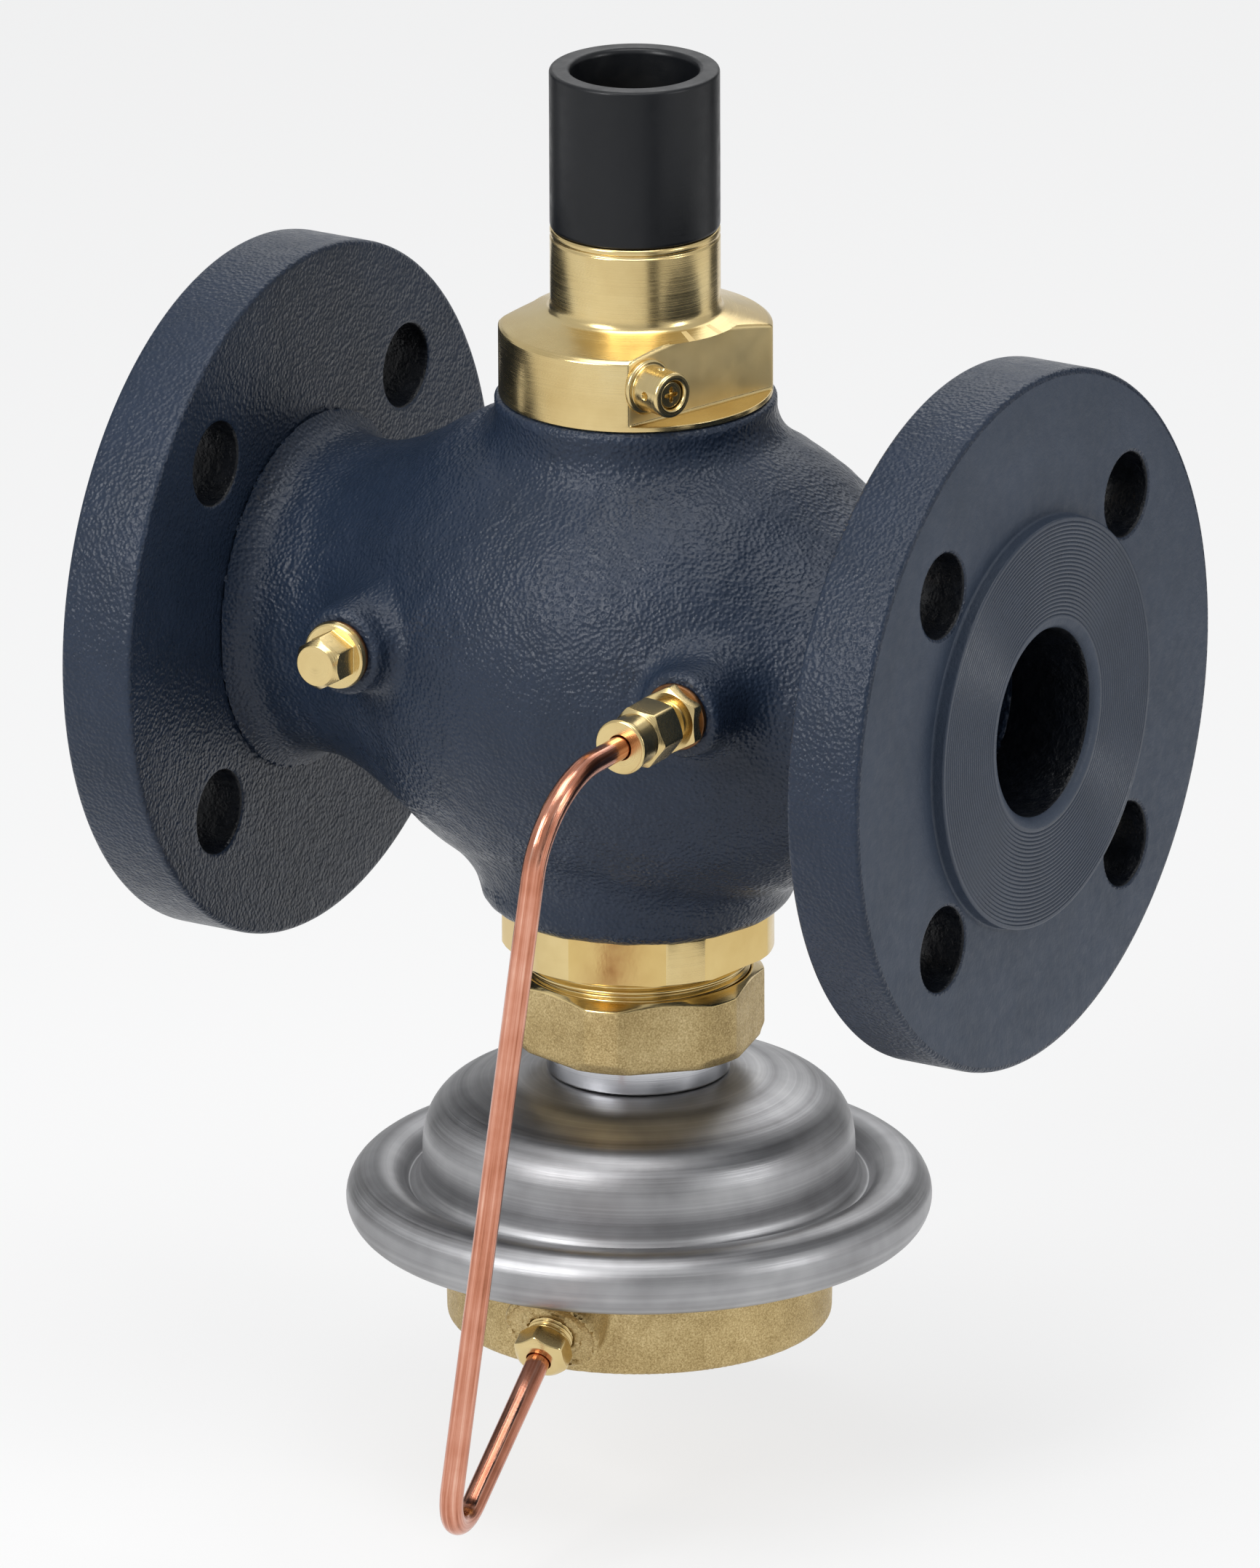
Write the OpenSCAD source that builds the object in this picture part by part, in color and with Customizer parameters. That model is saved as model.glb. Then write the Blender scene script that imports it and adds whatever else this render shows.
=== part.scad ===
// Flanged pressure independent control valve, DN40, with a diaphragm pressure regulator below.
// The origin is the centre of the inlet flange face. Water flows along +X and +Z points to the
// actuator neck. Every node module is written about the crossing of pipe and stem.

/* [Valve body] */
// Length between the two flange faces
face_to_face = 200; // [190:1:216]
// Outer diameter of each flange
flange_d = 150; // [146:1:162]
// Thickness of each flange without its raised face
flange_t = 17; // [15:0.5:19]
// Diameter of the raised sealing face
raised_d = 88; // [84:0.5:91]
// Height of the raised sealing face
raised_t = 3; // [2:0.5:4]
// Distance of the bolt holes' middle from the edge of the flange
bolt_edge = 20; // [18:0.5:21]
// Diameter of each bolt hole
bolt_hole_d = 18; // [14:0.5:19]
// Bolt holes in each flange
bolt_count = 4; // [4:4:8]
// Bore of each port
port_d = 40; // [34:1:41]
// Rounding at the mouth of each port
port_lip_r = 2.4; // [1:0.2:3]
// Diameter of the neck behind each flange
neck_d = 68; // [65:1:71]
// Fillet between flange and neck
neck_fillet_r = 8; // [5:0.5:9]
// Length of the rounded middle of the body
globe_l = 140; // [136:1:146]
// Width of the rounded middle of the body
globe_w = 104; // [101:1:108]
// Height of the rounded middle of the body
globe_h = 112; // [110:1:116]
// Wall of the casting
wall_t = 7; // [6:0.5:8]
// Height of the machined top face above the pipe axis
top_face_h = 56.9; // [56:0.1:60]
// Diameter of the collar under the bonnet
collar_d = 60; // [59:0.5:62]
// Depth of the machined bottom face below the pipe axis
bottom_face_h = 56.4; // [55.5:0.1:59]
// Diameter of the neck under the body
bottom_neck_d = 67; // [65:0.5:70]
// Rounding at the lower edge of that neck
bottom_round_r = 5; // [3:0.5:6]

/* [Pressure bosses] */
// Distance of the plugged boss from the stem, towards the inlet
plug_x = 42; // [39:0.5:44]
// Distance of the impulse boss from the stem, towards the outlet
impulse_x = 40.5; // [38:0.5:43]
// Height of both bosses above the pipe axis
boss_z = 7; // [3:0.5:10]
// Distance of the boss faces from the pipe axis
boss_face_y = 52; // [50:0.5:56]
// Diameter of each boss
boss_d = 19.4; // [18:0.2:22]
// Threaded bore of each boss
boss_bore_d = 9; // [7:0.5:10]

/* [Seats] */
// Inner diameter of the chamber between the two seats
chamber_d = 44; // [42:0.5:46]
// Wall of that chamber
chamber_wall_t = 4; // [3:0.5:5]
// Half of the height of that chamber
chamber_half_h = 21; // [20.6:0.2:23]
// Thickness of the plates that hold the seats
seat_plate_t = 5; // [4:0.5:6]
// Outer diameter of both seat rings
seat_ring_d = 38; // [37:0.5:39]
// Bore of both seat rings
seat_bore_d = 30; // [28:0.5:31]
// Height by which a seat ring stands out of its plate
seat_lip_h = 1; // [0.6:0.1:1.4]

/* [Bonnet] */
// Diameter of the bonnet base
bonnet_d = 58; // [57:0.5:59]
// Height of the bonnet base up to its shoulder edge
bonnet_base_h = 15.8; // [15:0.2:18]
// Height of the conical shoulder
bonnet_cone_h = 3.3; // [2.5:0.1:5]
// Diameter of the bonnet neck
bonnet_neck_d = 36; // [34:0.5:38]
// Height of the bonnet neck
bonnet_neck_h = 17.9; // [16:0.2:22]
// Distance between the two wrench flats
flat_across = 41.8; // [40:0.2:46]
// Height of the ledge left under the flats
flat_ledge_h = 1.5; // [1:0.1:2.5]
// Bearing of the front flat, measured from the outlet direction
flat_bearing = -18.4; // [-40:0.2:0]
// Diameter of the thread that screws into the body
top_thread_d = 48; // [46:0.5:49]
// Length of that thread
top_thread_h = 14; // [12:0.5:14.5]
// Diameter of the thread for the actuator
actuator_thread_d = 25; // [23:0.5:25.5]
// Height of the thread for the actuator
actuator_thread_h = 18; // [16:0.5:20]

/* [Guard sleeve and setting ring] */
// Height of the guard sleeve
sleeve_h = 34.5; // [33:0.5:40]
// Outer diameter of the guard sleeve
sleeve_d = 36; // [34:0.5:38]
// Bore at the open end of the guard sleeve
sleeve_bore_d = 27; // [26.5:0.5:28]
// Outer diameter of the flow setting ring
setting_d = 29; // [27.5:0.1:29.4]
// Height of the flow setting ring
setting_h = 8; // [6:0.5:9]

/* [Control valve] */
// Diameter of the control stem
stem_d = 6; // [5:0.5:6.5]
// Stroke of the control stem
stem_stroke = 10; // [6:0.5:10]
// Height of the stem end above the actuator thread
stem_out_h = 6; // [5:0.5:7]
// Diameter of the control cone
cone_d = 34; // [33:0.5:35]
// Thickness of the control cone
cone_t = 5; // [4:0.5:5]
// Wire of the return spring
stem_wire_d = 1.6; // [1.2:0.1:2]

/* [Vent] */
// Height of the vent above the machined top face
vent_h = 9.7; // [9:0.1:10.5]
// Distance of the vent from the middle of the flat
vent_side = 15.4; // [8:0.1:15.7]
// Diameter of the vent collar
vent_collar_d = 12; // [11:0.1:12.4]
// Diameter of the vent barrel
vent_barrel_d = 9.8; // [9:0.1:10.6]

/* [Lower insert and union nut] */
// Width across the flats of the insert hexagon
insert_af = 54; // [52:0.5:56]
// Diameter that the corners of the insert hexagon are turned to
insert_turned_d = 58; // [57:0.5:60]
// Height of the insert hexagon
insert_hex_h = 10; // [8:0.5:13]
// Bearing of the insert hexagon
insert_bearing = 21.2; // [0:0.2:60]
// Diameter of the threads of the insert
insert_thread_d = 48; // [46:0.5:49]
// Length of the insert thread inside the body
insert_thread_h = 14; // [12:0.5:15]
// Length of the insert thread under the hexagon
insert_shank_h = 13.6; // [12:0.2:15]
// Space between the insert hexagon and the union nut
nut_gap = 4.6; // [4:0.1:5.5]
// Width across the flats of the union nut
nut_af = 50; // [50:0.5:53]
// Diameter that the corners of the union nut are turned to
nut_turned_d = 54; // [54:0.5:57]
// Height of the union nut
nut_h = 16.1; // [15.6:0.1:19]
// Bearing of the union nut
nut_bearing = 43.2; // [0:0.2:60]

/* [Regulator casing] */
// Diameter of the aluminium neck
neck_tube_d = 39.2; // [37:0.2:40.4]
// Length of the aluminium neck that shows under the union nut
neck_show_h = 6.9; // [5:0.1:10]
// Thickness of the casing sheet
sheet_t = 2; // [1.5:0.1:2.5]
// Outer diameter of the casing wall
casing_d = 92.4; // [91:0.2:95]
// Height of the casing from its top to the clamped diaphragm
casing_h = 27; // [26:0.5:32]
// Radius of the casing shoulder
shoulder_r = 10; // [7:0.5:11]
// Drop of the casing top from its middle to its shoulder
crown_drop = 3; // [2:0.2:4]
// Outer diameter of the rolled rim
rim_d = 125; // [123:0.5:129]
// Thickness of the rolled rim
rim_t = 14; // [13:0.2:15]
// Outer diameter of the cast base
base_d = 83; // [81:0.5:85]
// Height of the cast base under its clamped flange
base_h = 22.1; // [21:0.2:26]
// Thickness of the clamped flange of the base
base_flange_t = 4.2; // [3.6:0.1:4.6]
// Wall of the cast base
base_wall_t = 5; // [4:0.2:6]

/* [Regulator works] */
// Stroke of the pressure regulator
regulator_stroke = 8; // [6:0.5:8]
// Diameter of the regulator stem
regulator_stem_d = 8; // [7:0.5:9]
// Diameter of the regulator cone
regulator_cone_d = 34; // [33:0.5:35]
// Thickness of the rubber diaphragm
diaphragm_t = 2; // [1.5:0.1:2.2]
// Thickness of each diaphragm plate
plate_t = 2; // [1.5:0.1:2.5]
// Wire of the regulator spring
spring_wire_d = 2.4; // [2:0.1:2.6]
// Diameter of the regulator spring, measured at the middle of its wire
spring_d = 40; // [36:1:46]

/* [Impulse pipe] */
// Outer diameter of the copper pipe
pipe_d = 5; // [4.5:0.1:5.4]
// Wall of the copper pipe
pipe_wall_t = 0.8; // [0.6:0.1:1]
// Straight reach of the pipe from the upper nut to its first corner
pipe_reach = 30.7; // [28:0.5:36]
// Reach of the pipe from the lower nut to its last corner
pipe_dip = 60; // [52:1:66]
// Bending radius of the first corner
upper_bend_r = 20; // [16:0.5:22]
// Bending radius of the last corner
lower_bend_r = 12; // [10:0.5:13]
// Downward tilt of the lower connection
lower_tilt = 30; // [25:1:35]
// Bearing of the lower connection, measured from straight ahead
lower_bearing = 7.4; // [0:0.2:10]
// Depth of the lower connection under the clamped diaphragm
lower_drop = 13.8; // [13:0.2:15]

/* [Hidden] */
$fn = 96;

// Radial clearance of threads, guides and seats
fit = 0.05;
// Clearance between pieces that move past each other
clear = 0.3;
// Overrun of the cuts
over = 1;
// Small chamfer on machined edges
edge = 1;

half_l = face_to_face / 2;
bolt_circle_d = flange_d - 2 * bolt_edge;
port_r = port_d / 2;
z_top = top_face_h;
z_shoulder = z_top + bonnet_base_h;
z_neck = z_shoulder + bonnet_cone_h;
z_thread = z_neck + bonnet_neck_h;
z_thread_top = z_thread + actuator_thread_h;
z_sleeve_top = z_thread + sleeve_h;
z_bottom = -bottom_face_h;
z_hex = z_bottom - insert_hex_h;
z_shank = z_hex - insert_shank_h;
z_nut_top = z_hex - nut_gap;
z_nut_bottom = z_nut_top - nut_h;
z_casing = z_nut_bottom - neck_show_h;
z_clamp = z_casing - casing_h;
z_base_top = z_clamp - diaphragm_t;
z_base_flange = z_base_top - base_flange_t;
z_base = z_base_flange - base_h;
z_floor = z_base + base_wall_t;

// Regulating and control seats
z_upper_seat = chamber_half_h + seat_plate_t + seat_lip_h;
z_lower_seat = -chamber_half_h + seat_lip_h;
seat_ring_h = seat_plate_t + seat_lip_h;

// Bonnet inside: cavity for the return spring, packing box for the stem
cavity_d = 24;
packing_d = 13;
packing_h = 20;
z_cavity_top = z_thread_top - packing_h - edge;
gland_af = 14;
gland_head_h = 2.6;
gland_thread_h = 9;
seal_cord_d = 2.4;
guide_t = 6;
z_spigot = z_top - top_thread_h;
z_guide_top = z_spigot + guide_t;
cup_d = 20;
cup_t = 2.4;
cup_lip_h = 2;
clip_d = 10;
clip_t = 1;
cup_room_h = 4;
z_cup = z_cavity_top - cup_room_h;
stem_turns = 8;

// Control cone: disc, hub and throttling skirt
z_cone = z_upper_seat + stem_stroke;
skirt_d = seat_bore_d - 2 * clear;
skirt_t = 2;
skirt_window_count = 4;
skirt_window_w = 10;
cone_seal_t = 1.2;
z_stem_top = z_thread_top + stem_out_h;

// Guard sleeve: wide bore around the setting ring, narrower open end
sleeve_room_d = 30;
setting_room_h = 2;
sleeve_room_h = setting_h + setting_room_h;
setting_grip_count = 24;
setting_grip_d = 0.8;

// Vent on the front flat of the bonnet
vent_collar_t = 1.3;
vent_barrel_l = 8.9;
vent_head_d = 5.6;
vent_head_l = 2.2;
vent_recess = 0.8;
z_vent_head = vent_barrel_l - vent_recess - vent_head_l;
vent_bore_d = 4.6;
vent_shank_l = 7;
vent_hole_d = 3;
vent_slot_w = 1.2;
vent_slot_h = 1;
vent_spigot_d = 8;
vent_spigot_l = 5;
vent_drain_d = 1.5;

// Plug and the connection on the impulse boss
washer_d = 15;
washer_t = 1.2;
boss_thread_l = 9;
plug_collar_d = 14.8;
plug_collar_t = 1.5;
plug_af = 10;
plug_hex_l = 7.5;
plug_bearing = 30;
nipple_af = 13;
nipple_hex_l = 3.2;
nipple_bearing = 30;
nipple_waist_l = 3.6;
nipple_waist_d = 9;
upper_nut_af = 12;
upper_nut_hex_l = 10.5;
upper_nut_bearing = -8;
upper_nut_end_d = 12;
upper_nut_end_l = 5.3;
nipple_in_nut_l = 5;
nipple_bore_d = 3;
ferrule_d = 7;
ferrule_l = 4;
pipe_socket_l = 4;

// Lower connection: nipple in the cast base, nut and ferrule
lower_out_l = 15.1;
lower_nut_af = 11;
lower_nut_l = 5.8;
lower_nut_bearing = 2;
lower_thread_d = 8;
lower_port_d = 10;
lower_thread_in_l = 4;
lower_face_out = 7.4;
lower_face_d = 19;
lower_lip_d = 13.2;
lower_spot_t = 0.8;
lower_boss_d = 21;
lower_in_nut_l = 1.6;
lower_ferrule_l = 2.4;
lower_socket_l = 3;

// Aluminium neck between union nut and casing
neck_shoulder_step = 1;
neck_shoulder_d = insert_thread_d - 2 * fit - 2 * neck_shoulder_step;
neck_shoulder_t = 3.3;
neck_spigot_d = 24;
neck_spigot_h = 12;
neck_bore_d = 12;
neck_end_d = 24;
casing_nut_af = 32;
casing_nut_t = 4;
neck_end_h = sheet_t + casing_nut_t + edge;

// Diaphragm and its plates, drawn with the regulator fully open
z_sheet = z_clamp - diaphragm_t / 2 + regulator_stroke / 2;
casing_inner_r = casing_d / 2 - sheet_t;
fold_out_r = casing_inner_r - clear;
fold_r = 7;
fold_mid_r = fold_out_r - fold_r;
plate_r = fold_mid_r - fold_r - clear;
rim_r = rim_t / 2;
rim_mid_r = rim_d / 2 - rim_r;
clamp_r = rim_mid_r - rim_r / 2;
rim_drop = 1.5;
z_rim = z_clamp - rim_drop;
rim_wall_t = 1.8;
base_flange_r = rim_mid_r + edge;
base_lead = 4;
plate_stem_d = 6;
plate_nut_af = 10;
plate_nut_t = 4;
regulator_turns = 5;
regulator_hub_d = 14;
regulator_hub_h = 5;
regulator_cone_t = 5;
z_regulator_cone = z_lower_seat + regulator_stroke + fit;
regulator_bore_d = 2.4;
spring_register_h = 1.6;

// Unit vector of the lower connection, and the point where it leaves the cast base
lower_dir = [sin(lower_bearing) * cos(lower_tilt), -cos(lower_bearing) * cos(lower_tilt),
    -sin(lower_tilt)];
base_r = base_d / 2;
lower_root = [base_r * sin(lower_bearing), -base_r * cos(lower_bearing), z_clamp - lower_drop];
lower_end = lower_root + lower_out_l * lower_dir;
upper_exit_y = -boss_face_y - washer_t - nipple_hex_l - nipple_waist_l - upper_nut_hex_l
    - upper_nut_end_l;
upper_exit = [impulse_x, upper_exit_y, boss_z];
corner_1 = upper_exit + [0, -pipe_reach, 0];
corner_2 = lower_end + pipe_dip * lower_dir;

function unit(v) = v / norm(v);

// Points where a bend of radius r at corner c starts and ends, between the points a and b
function bend_angle(a, c, b) = acos(unit(a - c) * unit(b - c));
function bend_in(a, c, b, r) = c + unit(a - c) * r / tan(bend_angle(a, c, b) / 2);
function bend_out(a, c, b, r) = c + unit(b - c) * r / tan(bend_angle(a, c, b) / 2);
function bend_centre(a, c, b, r) = c + unit(unit(a - c) + unit(b - c)) * r
    / sin(bend_angle(a, c, b) / 2);

// Moves what is drawn about the stem to its place behind the inlet face
module at_stem() translate([half_l, 0, 0]) children();

// Turns what is drawn along +Z so that it runs along a direction from a place
module aim(place, dir) translate(place)
    rotate([0, acos(dir.z / norm(dir)), atan2(dir.y, dir.x)]) children();

// Cylinder between two heights
module column(z_from, z_to, d) translate([0, 0, min(z_from, z_to)])
    cylinder(h = abs(z_to - z_from), d = d);

// Hexagonal bar between two heights, its corners turned to a diameter and both ends chamfered
module hexagon(z_from, z_to, af, turned_d, bearing, bevel) intersection() {
    rotate([0, 0, bearing]) translate([0, 0, min(z_from, z_to)])
        cylinder(h = abs(z_to - z_from), d = af / cos(30), $fn = 6);
    rotate_extrude() polygon([
        [0, min(z_from, z_to)],
        [turned_d / 2 - bevel, min(z_from, z_to)],
        [turned_d / 2, min(z_from, z_to) + bevel / 2],
        [turned_d / 2, max(z_from, z_to) - bevel / 2],
        [turned_d / 2 - bevel, max(z_from, z_to)],
        [0, max(z_from, z_to)]]);
}

// Ring of round cord
module o_ring(z, mid_d, cord_d) translate([0, 0, z]) rotate_extrude()
    translate([mid_d / 2, 0]) circle(d = cord_d);

// Groove in the outside of a cylinder for such a ring
module outer_groove(z, outer_d, cord_d) translate([0, 0, z]) rotate_extrude()
    translate([outer_d / 2 - cord_d, -cord_d / 2 - fit]) square([cord_d + over, cord_d + 2 * fit]);

// Helical spring between two heights: one unbroken tube of 8 rings a curl and 6 sides
spring_rings = 8;
spring_sides = 6;
end_curl_pitch_share = 1.35;
function coil_rise(u, turns, h, wire) = let (p = wire * end_curl_pitch_share)
    u < 1 ? u * p : u > turns - 1 ? h - (turns - u) * p
    : p + (u - 1) * (h - 2 * p) / (turns - 2);
function coil_points(turns, mid_d, h, wire) = [for (k = [0 : turns * spring_rings])
    let (a = 360 * k / spring_rings)
    [mid_d / 2 * cos(a), mid_d / 2 * sin(a), coil_rise(k / spring_rings, turns, h, wire)]];
function coil_gap(path, wire) = min([for (i = [0 : len(path) - 1])
    for (j = [i + spring_rings / 2 : 1 : len(path) - 1]) norm(path[i] - path[j])]) - wire;
module coil(z_from, z_to, mid_d, wire, turns) {
    h = z_to - z_from - wire;
    path = coil_points(turns, mid_d, h, wire);
    last = len(path) - 1;
    skin = [for (k = [0 : last]) for (s = [0 : spring_sides - 1])
        let (a = 360 * k / spring_rings, b = 360 * s / spring_sides, out = [cos(a), sin(a), 0])
        path[k] + wire / 2 * (cos(b) * out + [0, 0, sin(b)])];
    first_cap = [for (s = [1 : spring_sides - 2]) [0, s, s + 1]];
    last_cap = [for (s = [1 : spring_sides - 2])
        [last * spring_sides, last * spring_sides + s + 1, last * spring_sides + s]];
    sides = [for (k = [0 : last - 1]) for (s = [0 : spring_sides - 1])
        let (t = (s + 1) % spring_sides, a = k * spring_sides, b = (k + 1) * spring_sides)
        each [[a + s, b + s, a + t], [a + t, b + s, b + t]]];
    echo(str("least gap of the coil to itself, mm: ", coil_gap(path, wire)));
    translate([0, 0, z_from + wire / 2]) polyhedron(points = skin,
        faces = concat(first_cap, last_cap, sides));
}

// Flange, raised face, fillet and neck of one port, drawn along +Z from the flange face
module port_outside() rotate_extrude() difference() {
    union() {
        square([raised_d / 2, raised_t + over]);
        polygon([
            [0, raised_t],
            [flange_d / 2 - edge, raised_t],
            [flange_d / 2, raised_t + edge],
            [flange_d / 2, raised_t + flange_t - edge],
            [flange_d / 2 - edge, raised_t + flange_t],
            [neck_d / 2 + neck_fillet_r, raised_t + flange_t],
            [neck_d / 2 + neck_fillet_r, raised_t + flange_t + neck_fillet_r],
            [0, raised_t + flange_t + neck_fillet_r]]);
        square([neck_d / 2, half_l - globe_l / 3]);
    }
    translate([neck_d / 2 + neck_fillet_r, raised_t + flange_t + neck_fillet_r])
        circle(r = neck_fillet_r);
}

// Bore of one port with its rounded mouth, drawn along +Z from the flange face
module port_bore() {
    translate([0, 0, -over]) cylinder(h = half_l - globe_l / 3 + over, d = port_d);
    rotate_extrude() difference() {
        translate([0, -over]) square([port_r + port_lip_r, port_lip_r + over]);
        translate([port_r + port_lip_r, port_lip_r]) circle(r = port_lip_r);
    }
}

// Places a port at both ends of the body
module both_ports() for (side = [-1, 1])
    translate([side * half_l, 0, 0]) rotate([0, -side * 90, 0]) children();

module bolt_holes() for (k = [0 : bolt_count - 1])
    rotate([0, 0, 360 * (k + 0.5) / bolt_count]) translate([bolt_circle_d / 2, 0, -over])
        cylinder(h = raised_t + flange_t + 2 * over, d = bolt_hole_d);

// Rounded middle of the body, drawn in by an even wall
module globe(inset) scale([globe_l / 2 - inset, globe_w / 2 - inset, globe_h / 2 - inset])
    sphere(r = 1);

module bosses(d, y_from, y_to) for (x = [-plug_x, impulse_x])
    translate([x, y_from, boss_z]) rotate([90, 0, 0]) cylinder(h = y_from - y_to, d = d);

collar_foot_share = 0.84;
module body_outside() {
    globe(0);
    both_ports() port_outside();
    column(0, z_top, collar_d);
    collar_foot_h = globe_h / 2 - globe_h / 2 * collar_foot_share;
    translate([0, 0, globe_h / 2 * collar_foot_share])
        cylinder(h = collar_foot_h, d1 = collar_d + 2 * collar_foot_h, d2 = collar_d);
    rotate_extrude() translate([0, z_bottom]) union() {
        translate([0, bottom_round_r]) square([bottom_neck_d / 2, bottom_face_h - bottom_round_r]);
        square([bottom_neck_d / 2 - bottom_round_r, bottom_face_h]);
        translate([bottom_neck_d / 2 - bottom_round_r, bottom_round_r]) circle(r = bottom_round_r);
    }
    bosses(boss_d, -globe_w / 4, -boss_face_y);
}

module body_hollow() {
    globe(wall_t);
    both_ports() port_bore();
    column(0, z_top + over, top_thread_d);
    column(0, z_bottom - over, insert_thread_d);
}

// Wall that parts the inlet from the outlet, with a round chamber between the two seats
module partition() {
    plate_z = chamber_half_h + seat_plate_t;
    difference() {
        union() {
            translate([-globe_l / 2, -globe_w / 2, chamber_half_h])
                cube([globe_l / 2, globe_w, seat_plate_t]);
            translate([0, -globe_w / 2, -plate_z]) cube([globe_l / 2, globe_w, seat_plate_t]);
            translate([-chamber_wall_t / 2, -globe_w / 2, -plate_z])
                cube([chamber_wall_t, globe_w, 2 * plate_z]);
            column(-plate_z, plate_z, chamber_d + 2 * chamber_wall_t);
        }
        column(-chamber_half_h, chamber_half_h, chamber_d);
    }
}

module valve_body() color([0.26, 0.29, 0.35]) at_stem() difference() {
    union() {
        difference() {
            body_outside();
            body_hollow();
        }
        intersection() {
            globe(wall_t / 2);
            partition();
        }
    }
    column(-globe_h / 3, globe_h / 3, seat_ring_d);
    both_ports() bolt_holes();
    bosses(boss_bore_d, -globe_w / 4, -boss_face_y - over);
    bosses(washer_d + 2 * clear, -boss_face_y, -boss_face_y - globe_w / 4);
}

// Seat ring pressed into its plate, standing out of it by its lip
module seat_ring(z_from) difference() {
    column(z_from, z_from + seat_ring_h, seat_ring_d - 2 * fit);
    column(z_from - over, z_from + seat_ring_h + over, seat_bore_d);
}

module control_seat() color("silver") at_stem() seat_ring(chamber_half_h);

module regulator_seat() color("silver") at_stem() seat_ring(-chamber_half_h - seat_plate_t);

// Two parallel planes cut beside the stem, down to the ledge
module bonnet_flats() rotate([0, 0, flat_bearing]) for (side = [0, 180]) rotate([0, 0, side])
    translate([flat_across / 2, -bonnet_d / 2, z_top + flat_ledge_h])
        cube([bonnet_d / 2, bonnet_d, bonnet_base_h + bonnet_cone_h]);

module bonnet() color([0.86, 0.76, 0.5]) at_stem() difference() {
    union() {
        difference() {
            rotate_extrude() polygon([
                [0, z_top],
                [bonnet_d / 2 - edge / 2, z_top],
                [bonnet_d / 2, z_top + edge / 2],
                [bonnet_d / 2, z_shoulder - edge / 2],
                [bonnet_d / 2 - edge, z_shoulder],
                [bonnet_neck_d / 2, z_neck],
                [0, z_neck]]);
            bonnet_flats();
        }
        rotate_extrude() polygon([
            [0, z_neck - over],
            [bonnet_neck_d / 2, z_neck - over],
            [bonnet_neck_d / 2, z_thread - edge / 2],
            [bonnet_neck_d / 2 - edge / 2, z_thread],
            [actuator_thread_d / 2, z_thread],
            [actuator_thread_d / 2, z_thread_top - edge],
            [actuator_thread_d / 2 - edge, z_thread_top],
            [0, z_thread_top]]);
        column(z_spigot, z_top, top_thread_d - 2 * fit);
    }
    outer_groove(z_top - seal_cord_d, top_thread_d, seal_cord_d);
    column(z_spigot - over, z_cavity_top, cavity_d);
    column(z_cavity_top - over, z_thread_top - packing_h, stem_d + 2 * fit);
    column(z_thread_top - packing_h, z_thread_top + over, packing_d);
    vent_place() {
        translate([0, 0, -vent_spigot_l]) cylinder(h = vent_spigot_l + over, d = vent_spigot_d);
        translate([0, 0, -bonnet_d / 2]) cylinder(h = bonnet_d / 2, d = vent_hole_d);
    }
}

module bonnet_seal() color([0.08, 0.08, 0.08]) at_stem()
    o_ring(z_top - seal_cord_d, top_thread_d - seal_cord_d - 2 * fit, seal_cord_d - 2 * fit);

module guard_sleeve() color([0.1, 0.1, 0.11]) at_stem() difference() {
    rotate_extrude() polygon([
        [0, z_thread],
        [sleeve_d / 2 - edge / 2, z_thread],
        [sleeve_d / 2, z_thread + edge / 2],
        [sleeve_d / 2, z_sleeve_top - edge / 2],
        [sleeve_d / 2 - edge / 2, z_sleeve_top],
        [0, z_sleeve_top]]);
    column(z_thread - over, z_thread + sleeve_room_h, sleeve_room_d);
    column(z_thread, z_sleeve_top + over, sleeve_bore_d);
}

// Grooves round the outside of the setting ring for the fingers
module setting_ring() color([0.75, 0.75, 0.72]) at_stem() difference() {
    column(z_thread + clear, z_thread + clear + setting_h, setting_d);
    column(z_thread, z_thread_top, actuator_thread_d + 2 * fit);
    for (k = [0 : setting_grip_count - 1]) rotate([0, 0, 360 * k / setting_grip_count])
        translate([setting_d / 2, 0, z_thread]) cylinder(h = setting_h + over, d = setting_grip_d);
}

module gland_nut() color([0.86, 0.76, 0.5]) at_stem() difference() {
    union() {
        column(z_thread_top - gland_thread_h, z_thread_top, packing_d - 2 * fit);
        hexagon(z_thread_top, z_thread_top + gland_head_h, gland_af, gland_af + edge, 0, edge / 2);
    }
    column(z_thread, z_sleeve_top, stem_d + 2 * fit);
}

module stem_seal() color([0.08, 0.08, 0.08]) at_stem() difference() {
    column(z_thread_top - packing_h, z_thread_top - gland_thread_h, packing_d - 2 * fit);
    column(z_cavity_top, z_thread_top, stem_d + 2 * fit);
}

module control_stem() color("lightgray") at_stem() rotate_extrude() polygon([
    [0, z_cone],
    [stem_d / 2, z_cone],
    [stem_d / 2, z_stem_top - edge / 2],
    [stem_d / 2 - edge / 2, z_stem_top],
    [0, z_stem_top]]);

module stem_clip() color("dimgray") at_stem() difference() {
    column(z_cup, z_cup + clip_t, clip_d);
    column(z_cup - over, z_cup + clip_t + over, stem_d + fit);
    translate([0, -stem_d / 4, z_cup - over]) cube([clip_d, stem_d / 2, clip_t + 2 * over]);
}

module spring_cup() color("silver") at_stem() difference() {
    column(z_cup - cup_t - cup_lip_h, z_cup, cup_d);
    column(z_spigot, z_cup + over, stem_d + fit);
    column(z_cup - cup_t - cup_lip_h - over, z_cup - cup_t, cup_d - cup_t);
}

module stem_spring() color("gray") at_stem()
    coil(z_guide_top + fit, z_cup - cup_t - fit, cup_d - cup_t - stem_wire_d - 2 * clear,
        stem_wire_d, stem_turns);

module stem_guide() color([0.86, 0.76, 0.5]) at_stem() difference() {
    column(z_spigot, z_guide_top, cavity_d - 2 * fit);
    column(z_spigot - over, z_guide_top + over, stem_d + 2 * fit);
}

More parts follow.
